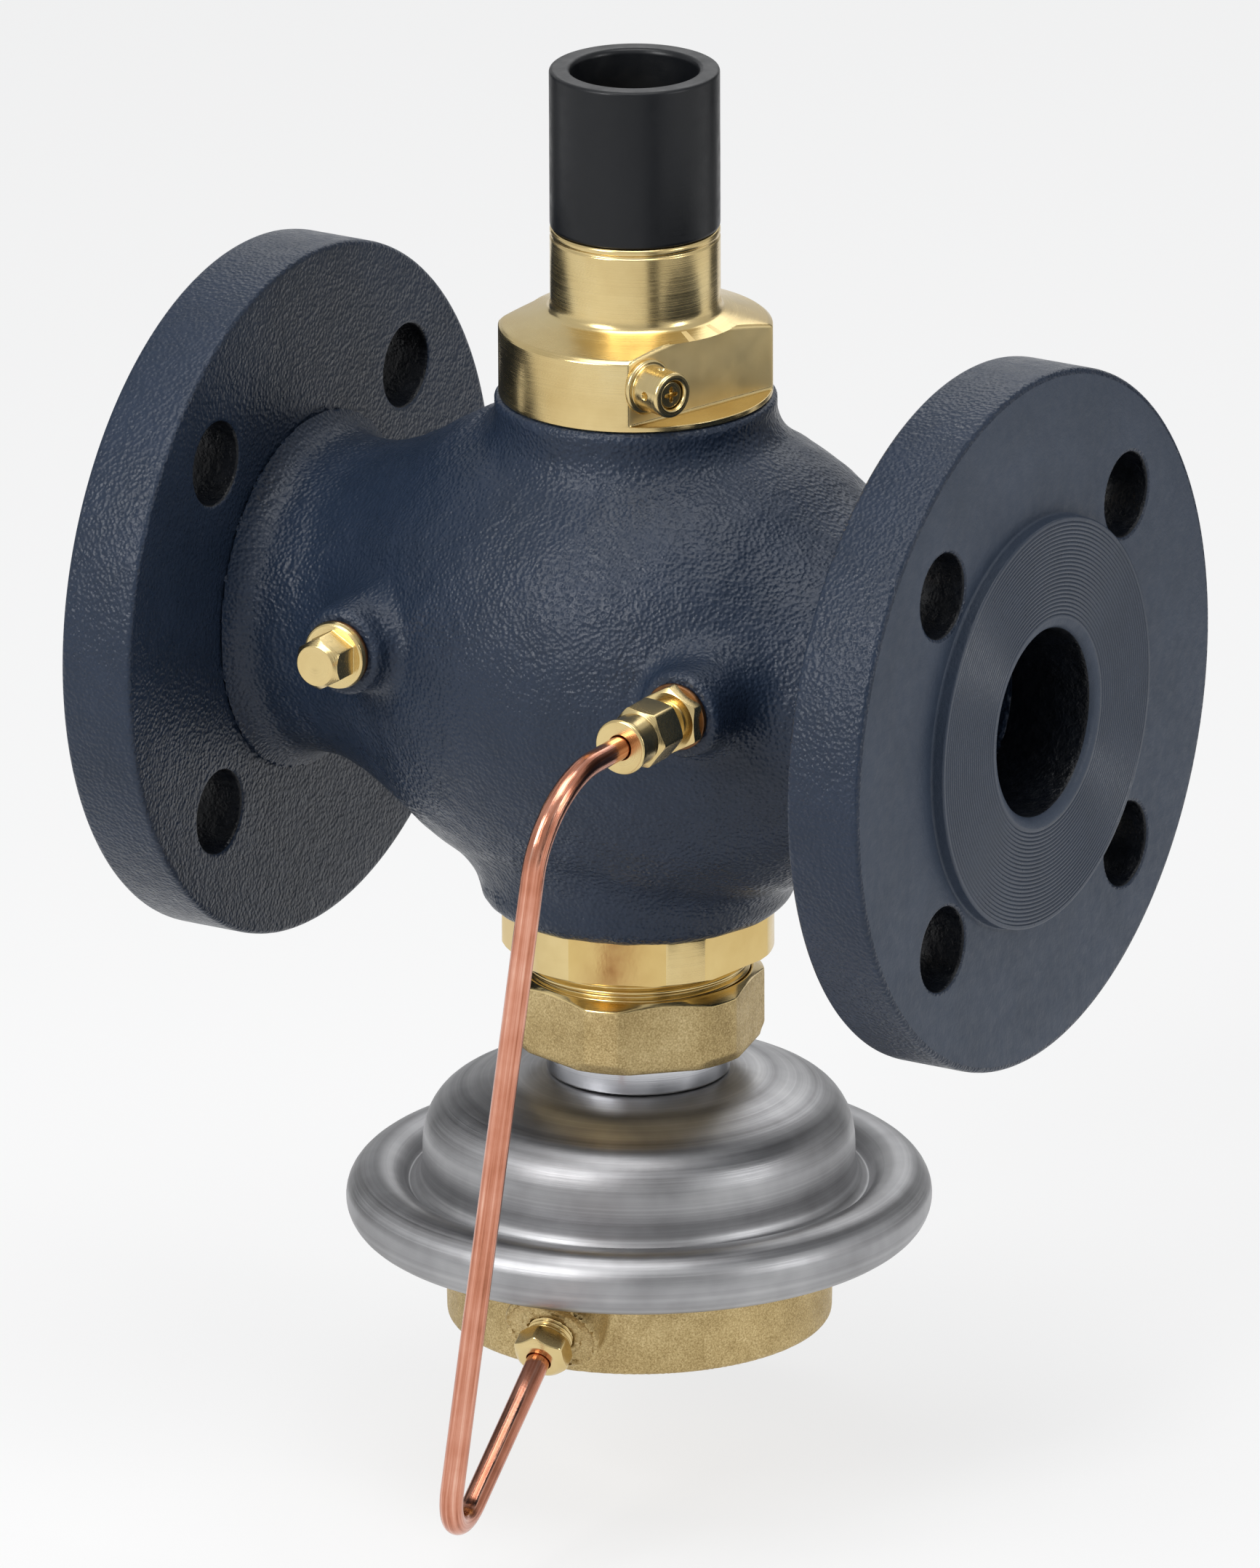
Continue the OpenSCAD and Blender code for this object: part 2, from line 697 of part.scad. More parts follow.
// Disc with a hub on the stem and a windowed skirt that throttles the flow in the seat
module control_cone() color([0.86, 0.76, 0.5]) at_stem() difference() {
    union() {
        column(z_cone, z_cone + cone_t, cone_d);
        column(z_upper_seat, z_cone, skirt_d);
    }
    column(z_upper_seat - over, z_cone, skirt_d - 2 * skirt_t);
    column(z_cone - over, z_cone + cone_t + over, stem_d + fit);
    for (k = [0 : skirt_window_count - 1]) rotate([0, 0, 360 * k / skirt_window_count])
        translate([0, -skirt_window_w / 2, z_upper_seat - over])
            cube([skirt_d, skirt_window_w, stem_stroke / 2 + over]);
    difference() {
        column(z_cone - over, z_cone + cone_seal_t, cone_d + over);
        column(z_cone - 2 * over, z_cone + cone_seal_t + over, skirt_d);
    }
}

module cone_seal() color([0.08, 0.08, 0.08]) at_stem() difference() {
    column(z_cone + fit, z_cone + cone_seal_t, cone_d);
    column(z_cone - over, z_cone + cone_seal_t + over, skirt_d + fit);
}

// The vent points out of the front flat, near one end of it
module vent_place() rotate([0, 0, flat_bearing])
    translate([flat_across / 2, -vent_side, z_top + vent_h]) rotate([0, 90, 0]) children();

module vent_body() color([0.86, 0.76, 0.5]) at_stem() vent_place() difference() {
    union() {
        cylinder(h = vent_collar_t, d = vent_collar_d);
        rotate_extrude() polygon([
            [0, 0],
            [vent_barrel_d / 2, 0],
            [vent_barrel_d / 2, vent_barrel_l - edge],
            [vent_barrel_d / 2 - edge, vent_barrel_l],
            [0, vent_barrel_l]]);
        translate([0, 0, -vent_spigot_l + fit])
            cylinder(h = vent_spigot_l, d = vent_spigot_d - 2 * fit);
    }
    translate([0, 0, -vent_spigot_l]) cylinder(h = vent_spigot_l, d = vent_hole_d);
    translate([0, 0, z_vent_head - vent_shank_l - clear])
        cylinder(h = vent_shank_l + clear, d = vent_bore_d + 2 * fit);
    translate([0, 0, z_vent_head - clear])
        cylinder(h = vent_barrel_l, d = vent_head_d + 2 * clear);
    translate([0, 0, (vent_collar_t + vent_barrel_l) / 2]) rotate([90, 0, 0])
        cylinder(h = vent_barrel_d, d = vent_drain_d);
}

module vent_screw() color([0.86, 0.76, 0.5]) at_stem() vent_place() difference() {
    union() {
        translate([0, 0, z_vent_head - vent_shank_l]) cylinder(h = vent_shank_l, d = vent_bore_d);
        translate([0, 0, z_vent_head]) cylinder(h = vent_head_l, d = vent_head_d);
    }
    for (turn = [0, 90]) rotate([0, 0, turn])
        translate([-vent_head_d / 2, -vent_slot_w / 2, z_vent_head + vent_head_l - vent_slot_h])
            cube([vent_head_d, vent_slot_w, vent_slot_h + over]);
}

// What is drawn along +Z points out of the face of a boss
module on_boss(x) translate([x, -boss_face_y, boss_z]) rotate([90, 0, 0]) children();

module flat_washer() difference() {
    cylinder(h = washer_t, d = washer_d);
    translate([0, 0, -over]) cylinder(h = washer_t + 2 * over, d = boss_bore_d);
}

module plug_screw() color([0.86, 0.76, 0.5]) at_stem() on_boss(-plug_x) {
    translate([0, 0, -boss_thread_l])
        cylinder(h = boss_thread_l + washer_t, d = boss_bore_d - 2 * fit);
    translate([0, 0, washer_t]) cylinder(h = plug_collar_t, d = plug_collar_d);
    hexagon(washer_t, washer_t + plug_collar_t + plug_hex_l, plug_af, plug_af + edge,
        plug_bearing, edge);
}

module plug_washer() color([0.78, 0.5, 0.4]) at_stem() on_boss(-plug_x) flat_washer();

module upper_washer() color([0.78, 0.5, 0.4]) at_stem() on_boss(impulse_x) flat_washer();

z_nipple_hex = washer_t + nipple_hex_l;
z_upper_nut = z_nipple_hex + nipple_waist_l;
z_upper_end = z_upper_nut + upper_nut_hex_l + upper_nut_end_l;

module upper_nipple() color([0.86, 0.76, 0.5]) at_stem() on_boss(impulse_x) difference() {
    union() {
        translate([0, 0, -boss_thread_l])
            cylinder(h = boss_thread_l + washer_t, d = boss_bore_d - 2 * fit);
        hexagon(washer_t, z_nipple_hex, nipple_af, nipple_af + edge, nipple_bearing, edge / 2);
        column(washer_t, z_upper_nut + nipple_in_nut_l, nipple_waist_d - 2 * fit);
    }
    column(-boss_thread_l - over, z_upper_end, nipple_bore_d);
    column(z_upper_nut + nipple_in_nut_l - pipe_socket_l, z_upper_end, pipe_d + 2 * fit);
}

module upper_nut() color([0.86, 0.76, 0.5]) at_stem() on_boss(impulse_x) difference() {
    union() {
        hexagon(z_upper_nut, z_upper_nut + upper_nut_hex_l, upper_nut_af, upper_nut_af + edge,
            upper_nut_bearing, edge);
        column(z_upper_nut, z_upper_end, upper_nut_end_d - 2 * edge);
        column(z_upper_nut + upper_nut_hex_l, z_upper_end, upper_nut_end_d);
    }
    column(z_upper_nut - over, z_upper_nut + nipple_in_nut_l + ferrule_l + fit, nipple_waist_d);
    column(z_upper_nut, z_upper_end + over, pipe_d + 2 * fit);
}

module upper_ferrule() color([0.8, 0.7, 0.45]) at_stem() on_boss(impulse_x) difference() {
    column(z_upper_nut + nipple_in_nut_l, z_upper_nut + nipple_in_nut_l + ferrule_l, ferrule_d);
    column(z_upper_nut, z_upper_end, pipe_d + 2 * fit);
}

// Middle line of the pipe: straight runs with a round bend at each of its two corners
bend_steps = 14;
function bend_path(a, c, b, r) = let (mid = bend_centre(a, c, b, r),
    turn = 180 - bend_angle(a, c, b), p = bend_in(a, c, b, r) - mid,
    q = bend_out(a, c, b, r) - mid)
    [for (k = [0 : bend_steps]) let (t = k / bend_steps)
    mid + (p * sin((1 - t) * turn) + q * sin(t * turn)) / sin(turn)];
upper_nut_l = upper_nut_hex_l + upper_nut_end_l;
pipe_start = upper_exit + [0, upper_nut_l - nipple_in_nut_l + pipe_socket_l, 0];
pipe_end = lower_end - (lower_nut_l - lower_in_nut_l + lower_socket_l) * lower_dir;
pipe_path = concat([pipe_start], bend_path(upper_exit, corner_1, corner_2, upper_bend_r),
    bend_path(corner_1, corner_2, lower_end, lower_bend_r), [pipe_end]);

// Ring of points round the middle line, square to it
pipe_sides = 20;
function pipe_way(k) = let (last = len(pipe_path) - 1)
    k == 0 ? unit(pipe_path[1] - pipe_path[0])
    : k == last ? unit(pipe_path[last] - pipe_path[last - 1])
    : unit(unit(pipe_path[k] - pipe_path[k - 1]) + unit(pipe_path[k + 1] - pipe_path[k]));
function pipe_ring(k, r) = let (way = pipe_way(k), side = unit([1, 0, 0] - way.x * way),
    up = cross(way, side))
    [for (s = [0 : pipe_sides - 1]) let (b = 360 * s / pipe_sides)
    pipe_path[k] + r * (cos(b) * side + sin(b) * up)];

// Hollow copper pipe: an outer and an inner skin, joined at both ends
module impulse_pipe() color([0.78, 0.5, 0.4]) at_stem() {
    last = len(pipe_path) - 1;
    inner = (last + 1) * pipe_sides;
    skins = concat([for (k = [0 : last]) each pipe_ring(k, pipe_d / 2)],
        [for (k = [0 : last]) each pipe_ring(k, pipe_d / 2 - pipe_wall_t)]);
    sides = [for (k = [0 : last - 1]) for (s = [0 : pipe_sides - 1])
        let (t = (s + 1) % pipe_sides, a = k * pipe_sides, b = (k + 1) * pipe_sides)
        each [[a + s, a + t, b + s], [a + t, b + t, b + s],
            [inner + a + s, inner + b + s, inner + a + t],
            [inner + a + t, inner + b + s, inner + b + t]]];
    ends = [for (s = [0 : pipe_sides - 1]) let (t = (s + 1) % pipe_sides, z = last * pipe_sides)
        each [[s, inner + s, t], [t, inner + s, inner + t],
            [z + s, z + t, inner + z + s], [z + t, inner + z + t, inner + z + s]]];
    polyhedron(points = skins, faces = concat(sides, ends));
}

// What is drawn along +Z points out of the cast base along the lower connection
module on_base() aim(lower_root, lower_dir) children();

z_lower_nut = lower_out_l - lower_nut_l;
z_lower_seat_end = z_lower_nut + lower_in_nut_l;

module lower_nipple() color([0.86, 0.76, 0.5]) at_stem() on_base() difference() {
    union() {
        column(-lower_thread_in_l, z_lower_nut - fit, lower_port_d - 2 * fit);
        column(0, z_lower_seat_end, lower_thread_d - 2 * fit);
    }
    column(-lower_thread_in_l - over, z_lower_seat_end + over, nipple_bore_d);
    column(z_lower_seat_end - lower_socket_l, z_lower_seat_end + over, pipe_d + 2 * fit);
}

module lower_nut() color([0.86, 0.76, 0.5]) at_stem() on_base() difference() {
    hexagon(z_lower_nut, lower_out_l, lower_nut_af, lower_nut_af + edge, lower_nut_bearing, edge);
    column(z_lower_nut - over, z_lower_seat_end + lower_ferrule_l + fit, lower_thread_d);
    column(z_lower_nut, lower_out_l + over, pipe_d + 2 * fit);
}

module lower_ferrule() color([0.8, 0.7, 0.45]) at_stem() on_base() difference() {
    column(z_lower_seat_end, z_lower_seat_end + lower_ferrule_l, ferrule_d);
    column(z_lower_nut, lower_out_l, pipe_d + 2 * fit);
}

// Hexagon with a thread up into the body and a shank down for the union nut
module lower_insert() color([0.86, 0.76, 0.5]) at_stem() difference() {
    union() {
        column(z_bottom + insert_thread_h, z_hex, insert_thread_d - 2 * fit);
        hexagon(z_hex, z_bottom, insert_af, insert_turned_d, insert_bearing, edge);
        column(z_hex, z_shank, insert_thread_d - 2 * fit);
    }
    column(z_shank - over, z_shank + neck_spigot_h + clear, neck_spigot_d);
    column(z_shank, 0, regulator_stem_d + 2 * fit);
    outer_groove(z_bottom + seal_cord_d, insert_thread_d, seal_cord_d);
}

module insert_seal() color([0.08, 0.08, 0.08]) at_stem()
    o_ring(z_bottom + seal_cord_d, insert_thread_d - seal_cord_d - 2 * fit, seal_cord_d - 2 * fit);

module union_nut() color([0.74, 0.65, 0.43]) at_stem() difference() {
    hexagon(z_nut_bottom, z_nut_top, nut_af, nut_turned_d, nut_bearing, nut_turned_d / 2 - nut_af / 2);
    column(z_shank - neck_shoulder_t - fit, z_nut_top + over, insert_thread_d);
    column(z_nut_bottom - over, z_nut_top, neck_tube_d + 2 * clear);
}

module neck_tube() color([0.8, 0.8, 0.82]) at_stem() difference() {
    union() {
        column(z_shank, z_shank + neck_spigot_h, neck_spigot_d - 2 * fit);
        column(z_shank, z_shank - neck_shoulder_t, neck_shoulder_d);
        column(z_shank, z_casing, neck_tube_d);
        column(z_casing, z_casing - neck_end_h, neck_end_d);
    }
    column(z_shank + neck_spigot_h + over, z_clamp, neck_bore_d);
    outer_groove(z_shank + neck_spigot_h / 2, neck_spigot_d, seal_cord_d);
}

module neck_seal() color([0.08, 0.08, 0.08]) at_stem() o_ring(z_shank + neck_spigot_h / 2,
    neck_spigot_d - seal_cord_d - 2 * fit, seal_cord_d - 2 * fit);

module casing_nut() color("silver") at_stem() difference() {
    hexagon(z_casing - sheet_t, z_casing - sheet_t - casing_nut_t, casing_nut_af,
        casing_nut_af + 2 * edge, 0, edge);
    column(z_casing, z_clamp, neck_end_d + 2 * fit);
}

// Outline of the drawn sheet: crown, shoulder, wall and web, then the rim rolled round the clamp
crown_r = casing_d / 2 - shoulder_r;
z_crown_edge = z_casing - crown_drop;

module upper_casing() color([0.6, 0.6, 0.61]) at_stem() rotate_extrude() difference() {
    union() {
        polygon([
            [neck_end_d / 2 + fit, z_casing - sheet_t],
            [neck_tube_d / 2, z_casing - sheet_t],
            [crown_r, z_crown_edge - sheet_t],
            [crown_r + sheet_t, z_crown_edge - sheet_t / 2],
            [crown_r, z_crown_edge],
            [neck_tube_d / 2, z_casing],
            [neck_end_d / 2 + fit, z_casing]]);
        intersection() {
            translate([crown_r, z_crown_edge - shoulder_r]) difference() {
                circle(r = shoulder_r);
                circle(r = shoulder_r - sheet_t);
            }
            translate([crown_r, z_crown_edge - shoulder_r]) square([shoulder_r, shoulder_r]);
        }
        translate([casing_inner_r, z_clamp]) square([sheet_t, z_crown_edge - shoulder_r - z_clamp]);
        translate([casing_inner_r, z_clamp]) square([rim_mid_r - casing_inner_r, sheet_t]);
        translate([rim_mid_r, z_rim]) difference() {
            circle(r = rim_r);
            circle(r = rim_r - rim_wall_t);
        }
    }
    translate([0, z_base_flange - fit])
        square([base_flange_r + fit, z_clamp - z_base_flange + fit]);
    translate([0, z_rim - rim_r - over])
        square([rim_mid_r - rim_r / 2, z_clamp - z_rim + rim_r + over]);
    translate([0, z_rim - rim_r - over]) square([casing_inner_r, 2 * (rim_r + over)]);
}

// Cast base: clamped flange, round wall, floor, and a boss with a spot face for the connection
module base_casing() color([0.7, 0.62, 0.4]) at_stem() difference() {
    union() {
        rotate_extrude() difference() {
            union() {
                translate([0, z_base_flange]) square([base_flange_r, base_flange_t]);
                translate([0, z_base + edge]) square([base_r, z_base_flange - z_base - edge]);
                translate([0, z_base]) square([base_r - edge, z_base_flange - z_base]);
                translate([base_r - edge, z_base + edge]) circle(r = edge);
            }
            translate([0, z_floor]) square([base_r - base_wall_t, z_base_top - z_floor + over]);
            polygon([
                [0, z_base_top + over],
                [base_r - base_wall_t + base_lead + over, z_base_top + over],
                [base_r - base_wall_t, z_base_top - base_lead],
                [0, z_base_top - base_lead]]);
        }
        intersection() {
            on_base() column(-base_wall_t - lower_thread_in_l, lower_face_out, lower_boss_d);
            column(z_base + edge, z_rim - rim_r - clear, 2 * base_flange_r);
        }
    }
    on_base() difference() {
        column(lower_face_out - lower_spot_t, lower_out_l, lower_face_d);
        column(0, lower_out_l, lower_lip_d);
    }
    on_base() column(-base_d / 4, lower_out_l, lower_port_d);
    difference() {
        column(z_floor, z_base_flange, base_d - 2 * base_wall_t);
        on_base() column(-lower_thread_in_l - base_wall_t, over, lower_boss_d);
    }
}

// Rubber disc with one rolled fold, clamped at its edge between casing and base
module diaphragm() color([0.12, 0.12, 0.12]) at_stem() rotate_extrude() {
    translate([plate_stem_d / 2 + fit, z_sheet - diaphragm_t / 2])
        square([fold_mid_r - fold_r + diaphragm_t / 2 - plate_stem_d / 2, diaphragm_t]);
    intersection() {
        translate([fold_mid_r, z_sheet]) difference() {
            circle(r = fold_r);
            circle(r = fold_r - diaphragm_t);
        }
        translate([0, z_sheet - diaphragm_t / 2]) square([casing_d, casing_h]);
    }
    translate([fold_mid_r + fold_r - diaphragm_t, z_base_top])
        square([diaphragm_t, z_sheet - z_base_top]);
    translate([fold_mid_r + fold_r - diaphragm_t, z_base_top])
        square([clamp_r - fold_mid_r - fold_r + diaphragm_t, diaphragm_t]);
}

module plate(z_from) difference() {
    column(z_from, z_from + plate_t, 2 * plate_r);
    column(z_from - over, z_from + plate_t + over, plate_stem_d + 2 * fit);
}

z_upper_plate = z_sheet + diaphragm_t / 2;
z_lower_plate = z_sheet - diaphragm_t / 2 - plate_t;

module upper_plate() color("silver") at_stem() plate(z_upper_plate);

// Lower plate with a low ring inside the spring, clear of the flats of its curls
register_d = spring_d * cos(180 / spring_rings) - spring_wire_d - 2 * clear;
module lower_plate() color("silver") at_stem() {
    plate(z_lower_plate);
    difference() {
        column(z_lower_plate, z_lower_plate - spring_register_h, register_d);
        column(z_lower_plate + over, z_lower_plate - spring_register_h - over,
            register_d - 2 * plate_t);
    }
}

module plate_nut() color("silver") at_stem() difference() {
    hexagon(z_lower_plate, z_lower_plate - plate_nut_t, plate_nut_af, plate_nut_af + edge, 0,
        edge / 2);
    column(z_lower_plate + over, z_lower_plate - plate_nut_t - over, plate_stem_d + 2 * fit);
}

// Hollow stem: its bore leads the pressure between the seats down to the upper casing
module regulator_stem() color("lightgray") at_stem() difference() {
    union() {
        column(z_regulator_cone, z_upper_plate + plate_t, regulator_stem_d);
        column(z_upper_plate + plate_t, z_lower_plate - plate_nut_t - edge, plate_stem_d);
        column(z_regulator_cone, z_regulator_cone + regulator_cone_t + regulator_hub_h,
            plate_stem_d);
    }
    column(z_regulator_cone + regulator_cone_t + regulator_hub_h + over, z_casing - casing_h / 4,
        regulator_bore_d);
    translate([0, 0, z_casing - casing_h / 4]) rotate([90, 0, 0])
        cylinder(h = regulator_stem_d, d = regulator_bore_d);
}

module regulator_cone() color([0.86, 0.76, 0.5]) at_stem() difference() {
    union() {
        column(z_regulator_cone, z_regulator_cone + regulator_cone_t, regulator_cone_d);
        column(z_regulator_cone, z_regulator_cone + regulator_cone_t + regulator_hub_h - edge,
            regulator_hub_d);
    }
    column(z_regulator_cone - over, z_upper_seat, plate_stem_d + 2 * fit);
}

module regulator_spring() color("gray") at_stem()
    coil(z_floor + fit, z_lower_plate - fit, spring_d, spring_wire_d, regulator_turns);

valve_body();
control_seat();
regulator_seat();
bonnet();
bonnet_seal();
guard_sleeve();
setting_ring();
gland_nut();
stem_seal();
control_stem();
stem_clip();
spring_cup();
stem_spring();
stem_guide();
control_cone();
cone_seal();
vent_body();
vent_screw();
plug_screw();
plug_washer();
upper_washer();
upper_nipple();
upper_nut();
upper_ferrule();
impulse_pipe();
lower_nipple();
lower_nut();
lower_ferrule();
lower_insert();
insert_seal();
union_nut();
neck_tube();
neck_seal();
casing_nut();
upper_casing();
base_casing();
diaphragm();
upper_plate();
lower_plate();
plate_nut();
regulator_stem();
regulator_cone();
regulator_spring();
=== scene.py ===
import bpy
import numpy as np
from mathutils import Matrix


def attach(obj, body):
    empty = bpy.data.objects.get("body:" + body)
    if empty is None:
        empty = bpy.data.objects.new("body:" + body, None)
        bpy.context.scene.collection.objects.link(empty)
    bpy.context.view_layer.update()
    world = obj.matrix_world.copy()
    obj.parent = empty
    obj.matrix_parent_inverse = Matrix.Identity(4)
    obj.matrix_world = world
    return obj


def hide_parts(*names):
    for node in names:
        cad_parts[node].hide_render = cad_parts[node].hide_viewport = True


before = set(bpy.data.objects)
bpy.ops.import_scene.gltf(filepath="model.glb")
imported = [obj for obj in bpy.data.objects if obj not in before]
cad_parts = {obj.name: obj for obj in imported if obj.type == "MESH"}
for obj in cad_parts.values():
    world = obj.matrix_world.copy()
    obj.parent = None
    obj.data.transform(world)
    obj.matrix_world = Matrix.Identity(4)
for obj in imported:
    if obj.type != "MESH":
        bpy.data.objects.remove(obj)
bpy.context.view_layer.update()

scene = bpy.context.scene
scene.view_settings.view_transform = "Standard"

# Camera
# A long lens, five metres from the valve, to the right of the pipe's side and a little above,
# so that the valve is seen almost without perspective.
def direction(bearing, height):
    """Unit vector (sin b cos h, -cos b cos h, sin h): b from the -Y side towards +X, h upwards."""
    return np.array([np.sin(bearing) * np.cos(height), -np.cos(bearing) * np.cos(height),
                     np.sin(height)])


crossing = np.array([100.0, 0, 0])  # where stem and pipe cross, in mm from the inlet face
azimuth, elevation, roll = np.radians([30.601, 19.007, -0.25])
back = direction(azimuth, elevation)
right = np.array([np.cos(azimuth), np.sin(azimuth), 0])
above = np.cross(back, right)
camera_place = crossing + 5057.47 * back - 1.576 * right - 28.876 * above
right, above = (right * np.cos(roll) + above * np.sin(roll),
                above * np.cos(roll) - right * np.sin(roll))
lens = bpy.data.cameras.new("camera")
lens.sensor_width = 36
lens.lens = 36 * 32865.9 / 2156
lens.clip_end = 100
camera = bpy.data.objects.new("camera", lens)
scene.collection.objects.link(camera)
camera.matrix_world = (Matrix.Translation(camera_place / 1000)
                       @ Matrix(np.column_stack([right, above, back])).to_4x4())
scene.camera = camera


# Painted casting
# Ductile iron, sand cast in one piece with its flanges and painted dark blue-grey all over.
# Its skin is the zero level of a field, the distance to the metal, in mm about the crossing.
def fillet_union(a, b, radius):
    """Field of two bodies with a round fillet: max(radius, min(a, b)) - |(radius - a, radius - b)|
    where both differences are positive."""
    u, v = np.maximum(radius - a, 0), np.maximum(radius - b, 0)
    return np.maximum(radius, np.minimum(a, b)) - np.hypot(u, v)


def round_cut(a, b, radius):
    """Field of what two bodies share, its edge rounded: the fillet of the two outsides, negated."""
    return -fillet_union(-a, -b, radius)


def ellipsoid(x, y, z, half):
    """Near distance to an ellipsoid: k (k - 1) / l, with k = |p / half| and l = |p / half^2|."""
    k, l = (np.sqrt(sum((v / h ** power) ** 2 for v, h in zip((x, y, z), half)))
            for power in (1, 2))
    return k * (k - 1) / np.maximum(l, 1e-6)


def skin_of(field, low, high, step):
    """Points and quads of the zero level of field(x, y, z). The box is cut into cells of the given
    step. A cell that the level passes holds one point, the mean of where the level crosses its
    edges, and each crossed edge gives a quad of the four cells around it. Then each point is
    moved along the slope, p - f g / |g|^2, until it lies on the level."""
    axes = [np.arange(a, b, step) for a, b in zip(low, high)]
    value = field(*np.meshgrid(*axes, indexing="ij"))
    shape = np.array(value.shape) - 1
    count, total, loops = np.zeros(shape.prod()), np.zeros((shape.prod(), 3)), []
    for axis in range(3):
        first = np.take(value, np.arange(shape[axis]), axis)
        second = np.take(value, np.arange(1, shape[axis] + 1), axis)
        at = np.argwhere((first < 0) != (second < 0))
        a, b = first[tuple(at.T)], second[tuple(at.T)]
        crossing_at = at.astype(float)
        crossing_at[:, axis] += a / (a - b)
        ring = np.zeros((len(at), 4, 3), int)
        for corner, (u, v) in enumerate([(1, 1), (0, 1), (0, 0), (1, 0)]):
            ring[:, corner, (axis + 1) % 3], ring[:, corner, (axis + 2) % 3] = u, v
        cell = np.ravel_multi_index((at[:, None] - ring).reshape(-1, 3).T, shape).reshape(-1, 4)
        for corner in range(4):
            count += np.bincount(cell[:, corner], minlength=len(count))
            for k in range(3):
                total[:, k] += np.bincount(cell[:, corner], crossing_at[:, k], len(count))
        loops.append(np.where((a < 0)[:, None], cell, cell[:, ::-1]))
    held = np.flatnonzero(count)
    points = np.array(low) + step * total[held] / count[held, None]
    quads = np.searchsorted(held, np.concatenate(loops))
    for _ in range(5):
        here = field(*points.T)
        slope = np.array([field(*(points + 0.02 * unit).T) - field(*(points - 0.02 * unit).T)
                          for unit in np.eye(3)]).T / 0.04
        move = here[:, None] * slope / np.maximum((slope ** 2).sum(1), 0.2)[:, None]
        points -= np.clip(move, -step / 2, step / 2)
    return points, quads


def piece(name, points, quads, triangles=(), crease=None):
    """Mesh object from points in mm about the crossing and faces as rows of their numbers. The
    enclosed volume, the sum of p . (q x r) over the triangles, is made positive, so that the
    faces look outwards."""
    points, quads = np.asarray(points, float), np.asarray(quads, int).reshape(-1, 4)
    triangles = np.asarray(triangles, int).reshape(-1, 3)
    split = np.concatenate([quads[:, [0, 1, 2]], quads[:, [0, 2, 3]], triangles])
    p, q, r = (points[split[:, k]] for k in range(3))
    if np.sum(p * np.cross(q, r)) < 0:
        quads, triangles = quads[:, ::-1], triangles[:, ::-1]
    loops = np.concatenate([quads.ravel(), triangles.ravel()])
    starts = np.concatenate([np.arange(len(quads)) * 4,
                             quads.size + np.arange(len(triangles)) * 3])
    mesh = bpy.data.meshes.new(name)
    mesh.vertices.add(len(points))
    mesh.vertices.foreach_set("co", ((points + crossing) / 1000).astype(np.float32).ravel())
    mesh.loops.add(len(loops))
    mesh.loops.foreach_set("vertex_index", loops.astype(np.int32))
    mesh.polygons.add(len(starts))
    mesh.polygons.foreach_set("loop_start", starts.astype(np.int32))
    mesh.update(calc_edges=True)
    mesh.validate()
    mesh.shade_smooth()
    if crease:
        mesh.set_sharp_from_angle(angle=np.radians(crease))
    made = bpy.data.objects.new(name, mesh)
    scene.collection.objects.link(made)
    return made


def stand_in(made, node, body="valve"):
    """The piece rides a body and takes the place of a CAD node."""
    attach(made, body)
    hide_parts(node)
    return made


def grid_quads(rows):
    """Quads between neighbouring rows of point numbers, each row a closed ring."""
    return np.stack([rows[:-1], rows[1:], np.roll(rows[1:], -1, 1), np.roll(rows[:-1], -1, 1)], -1)


def fan(middle, ring):
    """Triangles from a middle point to a closed ring."""
    return np.stack([np.full_like(ring, middle), ring, np.roll(ring, -1)], -1)


def linear(red, green, blue):
    """Shader colour from a colour as it looks on a screen: ((c + 0.055) / 1.055)^2.4."""
    return (*(((np.array([red, green, blue]) / 255 + 0.055) / 1.055) ** 2.4), 1)


def add_node(tree, kind, settings=(), **inputs):
    """Adds a shader node. An input is a number, a vector or another node's output; i0 is the first
    one by number."""
    made = tree.nodes.new(kind)
    for name, value in dict(settings).items():
        setattr(made, name, value)
    for name, value in inputs.items():
        socket = made.inputs[int(name[1:]) if name[0] == "i" and name[1:].isdigit()
                             else name.replace("_", " ")]
        if isinstance(value, bpy.types.NodeSocket):
            tree.links.new(value, socket)
        else:
            socket.default_value = value
    return made


def worked_out(tree, operation, *values):
    """Output of a Math node."""
    return add_node(tree, "ShaderNodeMath", {"operation": operation},
                    **{f"i{k}": value for k, value in enumerate(values)}).outputs[0]


